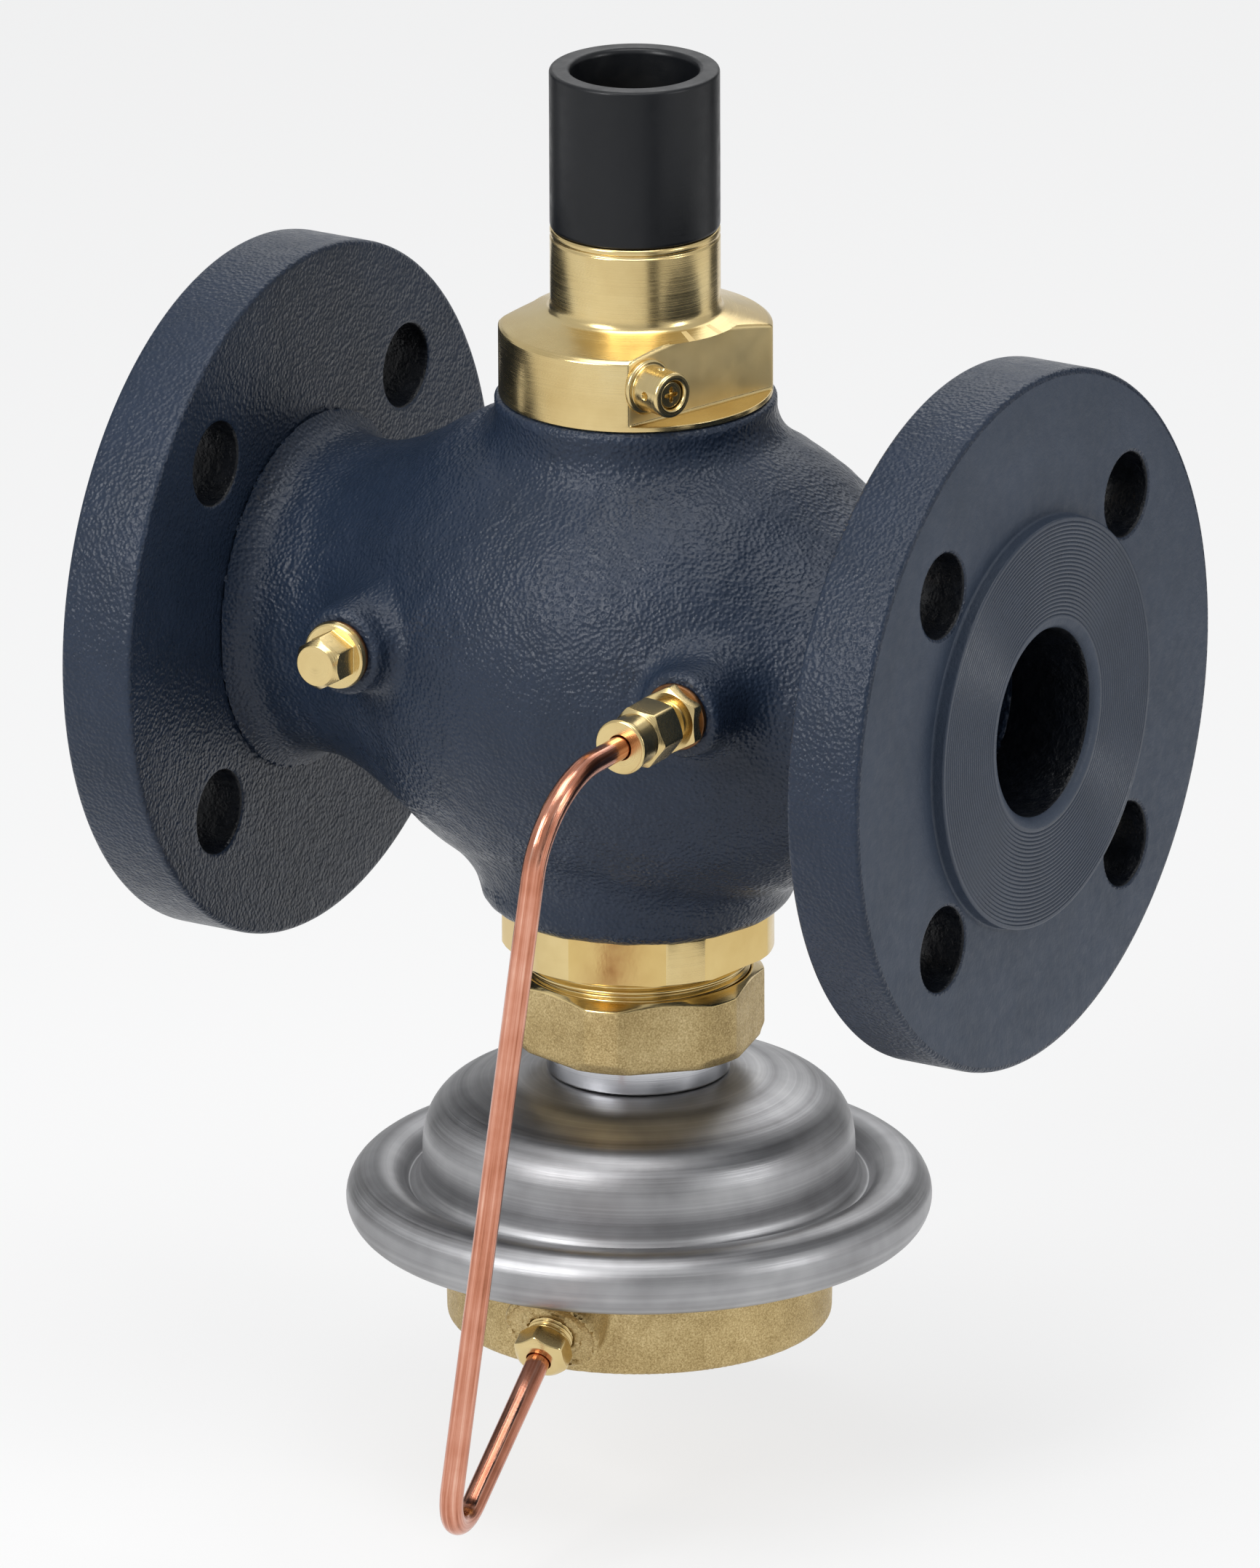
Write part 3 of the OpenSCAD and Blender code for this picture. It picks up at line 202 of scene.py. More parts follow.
class Finish:
    """Material under construction: its shader, and texture nodes that read Object coordinates."""

    def __init__(self, name, **sockets):
        self.material = bpy.data.materials.new(name)
        self.material.use_nodes = True
        self.tree = self.material.node_tree
        self.shader = self.tree.nodes["Principled BSDF"]
        for socket, value in sockets.items():
            self.shader.inputs[socket.replace("_", " ")].default_value = value
        self.place = self.node("ShaderNodeTexCoord").outputs["Object"]

    def node(self, kind, settings=(), **inputs):
        return add_node(self.tree, kind, settings, **inputs)

    def noise(self, scale, detail=2.0, roughness=0.5, place=None):
        """Noise with the given number of spots in a metre."""
        return self.node("ShaderNodeTexNoise", Vector=place or self.place, Scale=scale,
                         Detail=detail, Roughness=roughness).outputs["Fac"]

    def spread(self, value, low, high, start=0.3, end=0.7):
        """Straight line from low at start to high at end, flat beyond both."""
        return self.node("ShaderNodeMapRange", Value=value, From_Min=start, From_Max=end,
                         To_Min=low, To_Max=high).outputs["Result"]

    def sum(self, first, second, operation="ADD"):
        """One value from two."""
        return worked_out(self.tree, operation, first, second)

    def colours(self, value, *stops):
        """Colour that runs through the stops, given as (position, red, green, blue)."""
        ramp = self.node("ShaderNodeValToRGB", Fac=value)
        band = ramp.color_ramp
        while len(band.elements) < len(stops):
            band.elements.new(0.5)
        for element, (position, *colour) in zip(band.elements, stops):
            element.position, element.color = position, linear(*colour)
        self.tree.links.new(ramp.outputs["Color"], self.shader.inputs["Base Color"])

    def gloss(self, value):
        """The shader's roughness follows a value."""
        self.tree.links.new(value, self.shader.inputs["Roughness"])

    def relief(self, *layers):
        """Bumps laid over each other, each a (height value, height in mm)."""
        normal = None
        for height, depth in layers:
            bump = self.node("ShaderNodeBump", Height=height, Distance=depth / 1000)
            if normal:
                self.tree.links.new(normal, bump.inputs["Normal"])
            normal = bump.outputs["Normal"]
        self.tree.links.new(normal, self.shader.inputs["Normal"])

    def dress(self, *objects):
        """Gives the material to pieces and CAD nodes."""
        for made in objects:
            if made.material_slots:
                made.material_slots[0].material = self.material
            else:
                made.data.materials.append(self.material)


globe = np.array([70.0, 52, 56])
half_length, flange_back, neck_radius, neck_fillet = 100, 80, 34, 8
top_face, bottom_face, boss_face, boss_height = 56.9, -56.4, 52, 7
plug_at, impulse_at = -42, 40.5


def casting_outside(x, y, z):
    """Globe, two necks with the round fillet behind each flange, top collar, lower neck and the
    two bosses, joined with fillets; low waves of the sand mould swell it by a tenth of a mm."""
    pipe_radius, stem_radius = np.hypot(y, z), np.hypot(x, y)
    neck = fillet_union(pipe_radius - neck_radius, flange_back + 0.06 - np.abs(x), neck_fillet)
    neck = np.maximum(neck, pipe_radius - neck_radius - neck_fillet)
    body = fillet_union(ellipsoid(x, y, z, globe), neck, 9)
    collar = np.maximum(stem_radius - 30 + 0.05 * (top_face - z), 20 - z)
    body = fillet_union(body, collar, 4.5)
    lower = np.maximum(stem_radius - 33.5, z + 20)
    body = fillet_union(body, lower, 5)
    body = round_cut(body, z - top_face, 1.2)
    body = round_cut(body, bottom_face - z, 5)
    for at in (plug_at, impulse_at):
        boss = np.hypot(x - at, z - boss_height) - 9.4 - 0.08 * (y + boss_face)
        boss = round_cut(np.maximum(boss, y + 20), -boss_face - y, 1.4)
        body = fillet_union(body, boss, 5)
    waves = (np.sin(0.31 * x + 1.7 * np.sin(0.23 * y)) * np.sin(0.27 * y + 1.1 * np.sin(0.29 * z))
             + np.sin(0.61 * z + 2 * np.sin(0.37 * x)) * np.sin(0.53 * x + np.sin(0.41 * y)))
    calm = (np.clip((top_face - 0.6 - z) / 3, 0, 1) * np.clip((y + boss_face - 0.4) / 3, 0, 1)
            * np.clip((flange_back - 1 - np.abs(x)) / 6, 0, 1))
    return np.maximum(body - 0.1 * waves * calm, np.abs(x) - flange_back - 0.5)


def casting_field(x, y, z):
    """The outside less the two ports, the cavity and the bores for bonnet and insert, plus the wall
    that parts inlet and outlet, less its chamber, its seat holes and the bores of the bosses."""
    def drum(radius, half):
        return np.maximum(np.hypot(x, y) - radius, np.abs(z) - half)

    port = np.maximum(np.hypot(y, z) - 20, 40 - np.abs(x))
    bore = np.maximum(np.hypot(x, y) - 24, 30 - np.abs(z))
    hollow = np.minimum(np.minimum(ellipsoid(x, y, z, globe - 7), port), bore)
    metal = np.maximum(casting_outside(x, y, z), -hollow)
    plate = np.maximum(np.abs(np.abs(z) - 23.5) - 2.5, x * np.sign(z))
    wall = np.maximum(np.abs(x) - 2, np.abs(z) - 26)
    parting = np.maximum(np.minimum(np.minimum(plate, wall), drum(26, 26)), -drum(22, 21))
    metal = np.minimum(metal, np.maximum(parting, ellipsoid(x, y, z, globe - 3.5)))
    metal = np.maximum(metal, -drum(19, 37.3))
    for at in (plug_at, impulse_at):
        bore = np.maximum(np.hypot(x - at, z - boss_height) - 4.5, y + 26)
        metal = np.maximum(metal, -bore)
    return metal


casting = piece("valve_casting", *skin_of(casting_field, (-81.9, -54.2, -58.3),
                                          (82.4, 54.2, 58.9), 1.25), crease=50)
stand_in(casting, "valve_body")

cast_paint = Finish("cast_paint", Specular_IOR_Level=0.3)
grain = cast_paint.noise(1900, 3, 0.6)
pits = cast_paint.node("ShaderNodeTexVoronoi", {"feature": "SMOOTH_F1"}, Vector=cast_paint.place,
                       Scale=1150.0, Smoothness=0.6).outputs["Distance"]
lumps = cast_paint.noise(330, 2)
cast_paint.colours(cast_paint.noise(60, 5, 0.65), (0.25, 30, 41, 57), (0.75, 39, 50, 68))
cast_paint.gloss(cast_paint.spread(cast_paint.noise(300, 3), 0.24, 0.38))
cast_paint.relief((lumps, 0.14), (pits, 0.26), (grain, 0.1))
cast_paint.dress(casting)


# Flanges
# They belong to the same casting. The raised face is turned with fine grooves to grip the
# gasket, four holes are drilled, and the paint rounds every edge.
flange_columns = 320
holes, hole_circle, hole_radius, hole_edge = 4, 55, 9, 0.9
column_bearings = 2 * np.pi * np.arange(flange_columns) / flange_columns
block_radii = np.linspace(44.9, 65.2, 15)
block_half = 10  # columns on each side of a hole that its square takes


def rounded(corners, steps=4):
    """Outline through corners (radius, height, cut): a corner with a cut is replaced by the curve
    (1 - t)^2 p + 2 t (1 - t) c + t^2 q between the points p and q that lie the cut away from it.
    Radius and height may be arrays over the bearings. Gives rows of (radius, height)."""
    wide = np.broadcast_shapes(*[np.shape(v) for corner in corners for v in corner], (1,))
    at = np.array([[np.broadcast_to(v, wide) for v in corner[:2]] for corner in corners], float)
    rows, t = [at[0]], np.linspace(0, 1, steps + 1)
    for k, (_, _, cut) in enumerate(corners[1:-1], 1):
        if not np.any(cut):
            rows.append(at[k])
            continue
        ends = []
        for other in (at[k - 1], at[k + 1]):
            way = other - at[k]
            reach = np.maximum(np.hypot(*way), 1e-9)
            ends.append(at[k] + way * np.minimum(cut / reach, 0.48))
        rows += [(1 - s) ** 2 * ends[0] + 2 * s * (1 - s) * at[k] + s * s * ends[1] for s in t]
    rows.append(at[-1])
    return np.array(rows)


groove_radii = np.arange(22.9, 43.3, 0.85)
grooves = [(r + across, deep, 0) for r in groove_radii
           for across, deep in ((0, 0), (0.2, 0.04), (0.42, 0.22), (0.64, 0.04))]
raised, flange_depth, flange_radius = 3, 20, 75
flange_outline = rounded(
    [(20, 20, 0), (20, 12, 0), (20, 2.4, 0), (20.2, 1.45, 0), (20.7, 0.7, 0), (21.45, 0.2, 0),
     (22.4, 0, 0)] + grooves + [(44, 0, 0.5), (44, raised, 0.7)]
    + [(r, raised, 0) for r in block_radii]
    + [(flange_radius, raised, 1.3), (flange_radius, flange_depth, 1.3)]
    + [(r, flange_depth, 0) for r in block_radii[::-1]]
    + [(42, flange_depth, 0), (30, flange_depth, 0)])


def flange(name, side):
    """Outline turned about the pipe axis, (x, y, z) = (side (100 - depth), r cos b, r sin b). A
    square of the grid round each hole makes way for a sleeve of rings that run from the front
    square to the hole's edge, round it, through the hole and out to the square at the back."""
    radius, depth = flange_outline[:, 0, 0], flange_outline[:, 1, 0]
    rows = len(radius)
    index = np.arange(rows * flange_columns).reshape(rows, flange_columns)
    points = np.stack([np.broadcast_to(depth[:, None], index.shape),
                       radius[:, None] * np.cos(column_bearings),
                       radius[:, None] * np.sin(column_bearings)], -1).reshape(-1, 3)
    cells = grid_quads(np.vstack([index, index[:1]]))
    kept = np.ones(index.shape, bool)
    front = np.flatnonzero((depth == raised) & np.isin(radius, block_radii))
    rear = np.flatnonzero((depth == flange_depth) & np.isin(radius, block_radii))[::-1]
    new_points, new_quads, start = [points], [], len(points)
    for k in range(holes):
        middle = int(flange_columns * (k + 0.5) / holes)
        span = np.arange(middle - block_half, middle + block_half + 1)
        kept[front[0]:front[-1], span[0]:span[-1]] = False
        kept[rear[-1]:rear[0], span[0]:span[-1]] = False
        loops = [np.concatenate([index[ring[0], span], index[ring[1:], span[-1]],
                                 index[ring[-1], span[-2::-1]], index[ring[-2:0:-1], span[0]]])
                 for ring in (front, rear)]
        centre = hole_circle * np.array([np.cos(column_bearings[middle]),
                                         np.sin(column_bearings[middle])])
        away = points[loops[0], 1:] - centre
        reach = np.hypot(*away.T)
        t = np.linspace(0, 1, 6)
        turn = np.linspace(0, np.pi / 2, 5)
        widths = [reach + (hole_radius + hole_edge - reach) * s for s in t[1:]]
        widths += [np.full(len(reach), hole_radius + hole_edge * (1 - np.sin(s))) for s in turn[1:]]
        depths = [raised] * 5 + [raised + hole_edge * (1 - np.cos(s)) for s in turn[1:]]
        widths += widths[::-1]
        depths += [raised + flange_depth - d for d in depths[::-1]]
        sleeve = np.array([np.column_stack([np.full(len(reach), d),
                                            centre + away * (w / reach)[:, None]])
                           for w, d in zip(widths, depths)])
        count = len(reach)
        own = start + np.arange(len(sleeve) * count).reshape(-1, count)
        own = np.vstack([loops[0], own, loops[1]])
        new_quads.append(grid_quads(own).reshape(-1, 4)[:, ::-1])
        new_points.append(sleeve.reshape(-1, 3))
        start += sleeve.size // 3
    points = np.concatenate(new_points)
    points[:, 0] = side * (half_length - points[:, 0])
    quads = np.concatenate([cells[kept]] + new_quads)
    used = np.unique(quads)
    made = piece(name, points[used], np.searchsorted(used, quads), crease=35)
    x, y, z = face_middles(made)
    depth, across = half_length - np.abs(x), np.hypot(y, z)
    to_hole = np.hypot(np.abs(y) - hole_circle / 2 ** 0.5, np.abs(z) - hole_circle / 2 ** 0.5)
    # Bolt-hole walls and the port bore take a near-black paint: painted shade for the shadow deep
    # inside them.
    bore = (to_hole < hole_radius + 0.2) | ((across < 20.3) & (depth > 1.2))
    turned_face = (depth < raised + 0.02) & (across < flange_radius - 1.1)
    finishes(made, (cast_paint, None), (machined_paint, turned_face),
             (faced_paint, (depth < 0.3) & (across > 22)), (bore_painted_shade, bore))
    return made


def face_middles(made):
    """Middles of a piece's faces as rows x, y, z in mm about the crossing."""
    middles = np.zeros(len(made.data.polygons) * 3)
    made.data.polygons.foreach_get("center", middles)
    return (middles.reshape(-1, 3) * 1000 - crossing).T


def finishes(made, *kits):
    """Several materials on one piece: each (kit, chosen faces) covers the ones before it."""
    number = np.zeros(len(made.data.polygons), np.int32)
    for k, (kit, chosen) in enumerate(kits):
        made.data.materials.append(kit.material)
        if chosen is not None:
            number[chosen] = k
    made.data.polygons.foreach_set("material_index", number)


def speckled(name, spots, colours, gloss_spots, gloss, *bumps, **sockets):
    """Material whose colour, gloss and relief follow noise. Spots are (number in a metre, detail,
    roughness), gloss is the range, and each bump is (height in mm, number, detail, roughness)."""
    kit = Finish(name, **sockets)
    kit.colours(kit.noise(*spots), *colours)
    kit.gloss(kit.spread(kit.noise(*gloss_spots), *gloss))
    kit.relief(*[(kit.noise(*layer), height) for height, *layer in bumps])
    return kit


machined_paint = speckled(
    "machined_paint", (60, 5, 0.65), ((0.25, 50, 60, 75), (0.75, 61, 71, 87)), (400, 3),
    (0.42, 0.55), (0.14, 700, 3, 0.6), (0.05, 1800, 2), Specular_IOR_Level=0.35)
faced_paint = speckled(
    "faced_paint", (90, 4, 0.65), ((0.25, 44, 54, 69), (0.75, 53, 63, 79)), (600, 3),
    (0.26, 0.36), (0.03, 1500, 2), Specular_IOR_Level=0.4)
# Near-black for the bolt-hole walls and the port bore: painted shade, standing in for the shadow
# inside them.
bore_painted_shade = speckled(
    "bore_painted_shade", (200, 4), ((0.3, 10, 13, 18), (0.7, 17, 21, 28)), (500, 3), (0.3, 0.5),
    (0.4, 420, 3, 0.6), (0.15, 1500, 2), Specular_IOR_Level=0.3)
inlet_flange = flange("inlet_flange", -1)
outlet_flange = flange("outlet_flange", 1)
for part in (inlet_flange, outlet_flange):
    stand_in(part, "valve_body")


# Bonnet
# Turned from brass bar and screwed into the collar. Two flats for a wrench are milled down to
# a low ledge; the neck carries the actuator thread.
def revolved(outline, bearings):
    """Points (r cos b, r sin b, z) of an outline of rows (radius, height) over the bearings b, and
    the quads between neighbours. An end row without radius is drawn together in one point;
    otherwise the last row joins the first, which makes a ring."""
    radius, height = (np.broadcast_to(outline[:, k], (len(outline), len(bearings)))
                      for k in (0, 1))
    points = np.stack([radius * np.cos(bearings), radius * np.sin(bearings), height], -1)
    index = np.arange(radius.size).reshape(radius.shape)
    triangles, first, last = [], radius[0].max() < 1e-6, radius[-1].max() < 1e-6
    if first:
        triangles.append(fan(index[0, 0], index[1]))
    if last:
        triangles.append(fan(index[-1, 0], index[-2, ::-1]))
    rows = index[int(first):len(index) - int(last)]
    if not (first or last):
        rows = np.vstack([rows, rows[:1]])
    quads = grid_quads(rows).reshape(-1, 4)
    triangles = np.concatenate(triangles) if triangles else np.zeros((0, 3), int)
    used = np.unique(np.concatenate([quads.ravel(), triangles.ravel()]))
    return (points.reshape(-1, 3)[used], np.searchsorted(used, quads),
            np.searchsorted(used, triangles))


def on_axis(made, place, direction):
    """Points drawn along Z moved to a place and turned to a direction, as the CAD does: first
    about Y by the angle from Z, then about Z by the bearing."""
    points, *faces = made
    direction = np.array(direction, float) / np.linalg.norm(direction)
    polar, bearing = np.arccos(direction[2]), np.arctan2(direction[1], direction[0])
    x = np.array([np.cos(polar) * np.cos(bearing), np.cos(polar) * np.sin(bearing),
                  -np.sin(polar)])
    y = np.array([-np.sin(bearing), np.cos(bearing), 0])
    return (np.array(place) + points @ np.array([x, y, direction]), *faces)


def turned(name, node, corners, bearings, axis=None, steps=4, crease=40, body="valve"):
    """Piece turned from the outline through the corners, about the stem or about another axis,
    given as (place, direction)."""
    made = revolved(rounded(corners, steps), bearings)
    made = piece(name, *(on_axis(made, *axis) if axis else made), crease=crease)
    return stand_in(made, node, body)


def gathered(count, *edges, share=0.35, width=3):
    """Bearings in degrees round the circle, drawn together near each edge bearing: the even angle
    plus a shift that falls off with the distance to the edge."""
    even = 360 * np.arange(count) / count
    shift = np.zeros(count)
    for edge in edges:
        off = (even - edge + 180) % 360 - 180
        shift -= share * off * np.exp(-(off / width) ** 2)
    return np.radians(np.sort((even + shift) % 360))


def soft_less(a, b, blend):
    """The smaller of two values with a rounded change: (a + b - sqrt((a - b)^2 + blend^2)) / 2."""
    return (a + b - np.sqrt((a - b) ** 2 + blend ** 2)) / 2


flat_bearing, flat_reach, bonnet_radius = -18.4, 20.9, 29
flat_corner = np.degrees(np.arccos(flat_reach / bonnet_radius))
corners_at = [flat_bearing + side + turn for side in (0, 180)
              for turn in (-flat_corner, flat_corner)]
bonnet_bearings = gathered(288, *corners_at, share=0.7, width=4)
from_flat = (np.degrees(bonnet_bearings) - flat_bearing + 90) % 180 - 90
milled = flat_reach / np.maximum(np.cos(np.radians(from_flat)), 0.2)
wall = soft_less(np.full(288, float(bonnet_radius)), milled, 0.25)
shoulder_edge = np.minimum(wall, bonnet_radius - 0.6)
shoulder_height = 76 - (shoulder_edge - 18) * 3.3 / 10.4
bonnet = turned("bonnet_body", "bonnet", [
    (17, 56.5, 0), (28.4, 56.5, 0), (28.4, 56.9, 0), (bonnet_radius, 57.3, 0.2),
    (bonnet_radius, 58.4, 0.25), (np.minimum(wall + 0.3, bonnet_radius), 58.4, 0.3),
    (wall, 58.9, 0.3), (wall, shoulder_height - 0.6, 0.3),
    (shoulder_edge - 0.3, shoulder_height + 0.1, 0.3), (23, 74.4, 0), (18.6, 75.9, 0.9),
    (18.0, 77.2, 0.9), (18.0, 91.6, 0.15), (17.7, 91.9, 0.15), (17.7, 92.3, 0.15),
    (18.0, 92.6, 0.15), (18.0, 93.5, 0.3), (17.5, 93.9, 0), (12.0, 93.9, 0), (12.0, 111.2, 0),
    (11.4, 111.9, 0.3), (6.6, 111.9, 0), (6.6, 90.9, 0), (3.1, 90.9, 0), (3.1, 89.9, 0),
    (12, 89.9, 0), (12, 43, 0), (23.9, 43, 0), (23.9, 56.5, 0)], bonnet_bearings)


def lathe_place(kit, centre, direction=(0, 0, 1)):
    """Coordinates (distance from the axis, height along it, 0), so that a texture runs in rings.
    A Mapping node brings the axis, which passes the centre in mm, to Z."""
    axis = np.array(direction, float) / np.linalg.norm(direction)
    side = np.cross([0, 0, 1], axis)
    side = side / np.linalg.norm(side) if side.any() else np.array([1.0, 0, 0])
    turn = Matrix(np.array([side, np.cross(axis, side), axis]))
    place = kit.node("ShaderNodeMapping", {"vector_type": "POINT"}, Vector=kit.place,
                     Rotation=turn.to_euler())
    start = turn @ Matrix.Translation(-(np.array(centre) + crossing) / 1000).to_translation()
    place.inputs["Location"].default_value = start
    split = kit.node("ShaderNodeSeparateXYZ", Vector=place.outputs["Vector"])
    square = [kit.sum(split.outputs[k], split.outputs[k], "MULTIPLY") for k in ("X", "Y")]
    from_axis = worked_out(kit.tree, "SQRT", kit.sum(*square))
    return kit.node("ShaderNodeCombineXYZ", X=from_axis, Y=split.outputs["Z"]).outputs["Vector"]


def turned_brass(name, centre=(0, 0, 0), direction=(0, 0, 1), marks=0.012):
    """Bright yellow brass with turning marks in rings, faint stains and handling smears."""
    kit = Finish(name, Metallic=1.0)
    rings = lathe_place(kit, centre, direction)
    kit.colours(kit.noise(45, 4, 0.6), (0.25, 204, 178, 122), (0.55, 220, 197, 142),
                (0.8, 228, 209, 158))
    fine = kit.noise(5200, 2, place=rings)
    kit.gloss(kit.sum(kit.spread(fine, 0.13, 0.24), kit.spread(kit.noise(120, 3), 0.0, 0.1)))
    kit.relief((fine, marks), (kit.noise(900, 2, place=rings), marks))
    return kit


stem_brass = turned_brass("turned_brass")
# The milled flats and ledge are rougher, as milled brass is; their lighter colour and lower
# metallic are painted light, brightening flats that the lamps leave in shade.
flat_brass_painted_light = speckled(
    "milled_flat_brass", (50, 4, 0.6), ((0.25, 222, 197, 138), (0.75, 236, 214, 160)), (150, 3),
    (0.42, 0.55), (0.01, 1500, 2), (0.03, 140, 2), Metallic=0.85)
flat_way = np.array([np.cos(np.radians(flat_bearing)), np.sin(np.radians(flat_bearing)), 0])
x, y, z = face_middles(bonnet)
milled_faces = (np.abs(np.abs(x * flat_way[0] + y * flat_way[1]) - flat_reach) < 0.12) & (z > 58.9)
finishes(bonnet, (stem_brass, None), (flat_brass_painted_light, milled_faces))


# Actuator thread
# M25 thread at the top of the bonnet; the sleeve hides it until it is lifted.
def thread(radius, pitch, depth, low, high, columns=96, inner=None):
    """Screw thread about the stem: radius - depth times a rounded saw of z / pitch - b / 360, faded
    out over half a turn at both ends; closed by an inner wall."""
    bearings = 2 * np.pi * np.arange(columns) / columns
    height = np.linspace(low, high, int((high - low) / pitch * 10) + 1)[:, None]
    phase = (height / pitch - bearings / (2 * np.pi)) % 1
    tooth = np.clip(2.6 * np.abs(phase - 0.5) - 0.25, 0, 1)
    fade = np.clip(np.minimum(height - low, high - height) / (0.6 * pitch), 0, 1)
    outer = radius - depth * tooth * fade
    inside = radius - depth - 1 if inner is None else inner
    wide = np.concatenate([np.full((1, columns), inside), outer, np.full((1, columns), inside)])
    tall = np.broadcast_to(np.concatenate([[[low]], height, [[high]]]), wide.shape)
    return revolved(np.stack([wide, tall], 1), bearings)


actuator_thread = piece("actuator_thread", *thread(12.5, 1.5, 0.85, 94.4, 111.5))
stand_in(actuator_thread, "bonnet")
stem_brass.dress(actuator_thread)


# Guard sleeve
# Moulded black plastic tube, pushed on the neck. It keeps dirt off the stem until the
# actuator is fitted.
even = 2 * np.pi * np.arange(192) / 192
sleeve = turned("guard_sleeve_tube", "guard_sleeve", [
    (15, 94.0, 0.2), (17.8, 94.0, 0.4), (18, 94.6, 0.3), (18, 128.0, 0.45), (17.5, 128.4, 0.45),
    (14.1, 128.4, 0.6), (13.5, 127.6, 0.5), (13.5, 104.2, 0), (15, 103.9, 0), (15, 94.0, 0)],
    even, body="sleeve")
plastic = Finish("black_plastic", Specular_IOR_Level=0.3)
rings = lathe_place(plastic, (0, 0, 0))
plastic.colours(plastic.noise(25, 3), (0.3, 14, 16, 19), (0.7, 20, 22, 26))
plastic.gloss(plastic.spread(plastic.noise(300, 3), 0.3, 0.42))
plastic.relief((plastic.noise(2500, 2, place=rings), 0.01), (plastic.noise(1200, 2), 0.015))
plastic.dress(sleeve)


# Lower insert
# Turned from hexagon bar: a thread up into the body, a hexagon whose corners are turned round,
# and a threaded shank for the union nut.
def hexagon_wall(bearings, across, corner, bearing, blend=0.15):
    """Distance of the wall at each bearing: across / 2 / cos of the angle to the nearest flat, no
    further than the corner radius."""
    off = (np.degrees(bearings) - bearing) % 60 - 30
    return soft_less(across / 2 / np.cos(np.radians(off)), corner, blend)


def hexagon_bearings(across, corner, bearing, count=360):
    """Bearings drawn together where the flats meet the turned corners."""
    half = 30 - np.degrees(np.arccos(np.clip(across / 2 / corner, 0.87, 1)))
    return gathered(count, *[bearing + 60 * k + s * half for k in range(6) for s in (-1, 1)],
                    share=0.6, width=2.5)


def hexagon_outline(bearings, across, corner, bearing, low, high, bevel_low, bevel_high, inner,
                    slope=0.5, soft=0.25):
    """Outline of a hexagon between two heights. A cone bevels each end: at a wall further out than
    the bevel radius, the end drops by slope times the excess."""
    wall = hexagon_wall(bearings, across, corner, bearing)
    up = high - slope * np.maximum(wall - bevel_high, 0)
    down = low + slope * np.maximum(wall - bevel_low, 0)
    flat_up, flat_down = np.minimum(wall - 0.05, bevel_high), np.minimum(wall - 0.05, bevel_low)
    return [(inner, low, 0), (flat_down, low, soft), (wall, down, soft), (wall, up, soft),
            (flat_up, high, soft), (inner, high, 0)]


# Each hexagon is (across flats, radius of its turned corners, bearing)
insert_hexagon = (54, 29, 21.2)
insert_bearings = hexagon_bearings(*insert_hexagon)
insert = turned("lower_insert_hexagon", "lower_insert", hexagon_outline(
    insert_bearings, *insert_hexagon, -66.4, -56.4, 28.2, 28.6, 22), insert_bearings)
shank = piece("lower_insert_shank", *thread(23.9, 2, 0.9, -80, -66.0, 192, 12))
stand_in(shank, "lower_insert")
milled_brass = speckled(
    "milled_brass", (60, 4, 0.6), ((0.25, 206, 176, 112), (0.75, 222, 196, 134)), (200, 3),
    (0.12, 0.2), (0.006, 1200, 2), (0.02, 160, 2), Metallic=1.0)
x, y, z = face_middles(insert)
finishes(insert, (stem_brass, None), (milled_brass, np.hypot(x, y) < 28.9))
stem_brass.dress(shank)


# Union nut
# Hot-stamped brass, blasted matt, with a cone turned on its top; it draws the aluminium neck
# against the insert.
nut_hexagon = (50, 27, 43.2)
nut_bearings = hexagon_bearings(*nut_hexagon)
nut_wall = hexagon_wall(nut_bearings, *nut_hexagon)
union_nut = turned("union_nut_body", "union_nut", [
    (24.1, -71.2, 0.15), (24.5, -71.0, 0.2), (24.8, -71.3, 0.2),
    (nut_wall - 0.02, -71.9 - 0.42 * np.maximum(nut_wall - 25, 0), 0.3), (nut_wall, -74.2, 0),
    (nut_wall, -86.1 + 0.9 * np.maximum(nut_wall - 25.6, 0), 0.4),
    (np.minimum(nut_wall - 0.3, 25.8), -87.1, 0.4), (19.9, -87.1, 0), (19.9, -83.4, 0),
    (24.1, -83.4, 0)], nut_bearings)
# Small bright and dark spots give the fine sparkle of blasting
cast_brass = Finish("blasted_brass", Metallic=1.0)
spots = cast_brass.noise(2600, 3, 0.7)
tone = cast_brass.sum(cast_brass.spread(spots, 0, 0.7),
                      cast_brass.spread(cast_brass.noise(90, 3), 0, 0.3))
cast_brass.colours(tone, (0.15, 156, 134, 90), (0.5, 192, 169, 120), (0.9, 226, 206, 158))
cast_brass.gloss(cast_brass.spread(cast_brass.noise(700, 2), 0.42, 0.58))
cast_brass.relief((spots, 0.09), (cast_brass.noise(900, 2), 0.06))
x, y, z = face_middles(union_nut)
cone = (z > -71.9 - 0.42 * np.maximum(np.hypot(x, y) - 25, 0) - 0.25) & (z > -73)
finishes(union_nut, (cast_brass, None), (stem_brass, cone))


# Aluminium neck
# Bright turned tube between the union nut and the casing.
neck_tube = turned("neck_tube_body", "neck_tube", [
    (6, -68, 0), (11.9, -68, 0), (11.9, -80, 0), (22.8, -80, 0), (22.8, -83.3, 0), (19.6, -83.4, 0),
    (19.6, -93.5, 0.2), (19.2, -93.9, 0.2), (12, -94, 0), (12, -101, 0.3), (6, -101, 0)], even)
aluminium = Finish("turned_aluminium", Metallic=1.0)
rings = lathe_place(aluminium, (0, 0, 0))
aluminium.colours(aluminium.noise(60, 3), (0.3, 196, 197, 201), (0.7, 214, 215, 219))
aluminium.gloss(aluminium.spread(aluminium.noise(4500, 2, place=rings), 0.14, 0.26))
aluminium.relief((aluminium.noise(4500, 2, place=rings), 0.01),
                 (aluminium.noise(700, 2, place=rings), 0.01))
aluminium.dress(neck_tube)


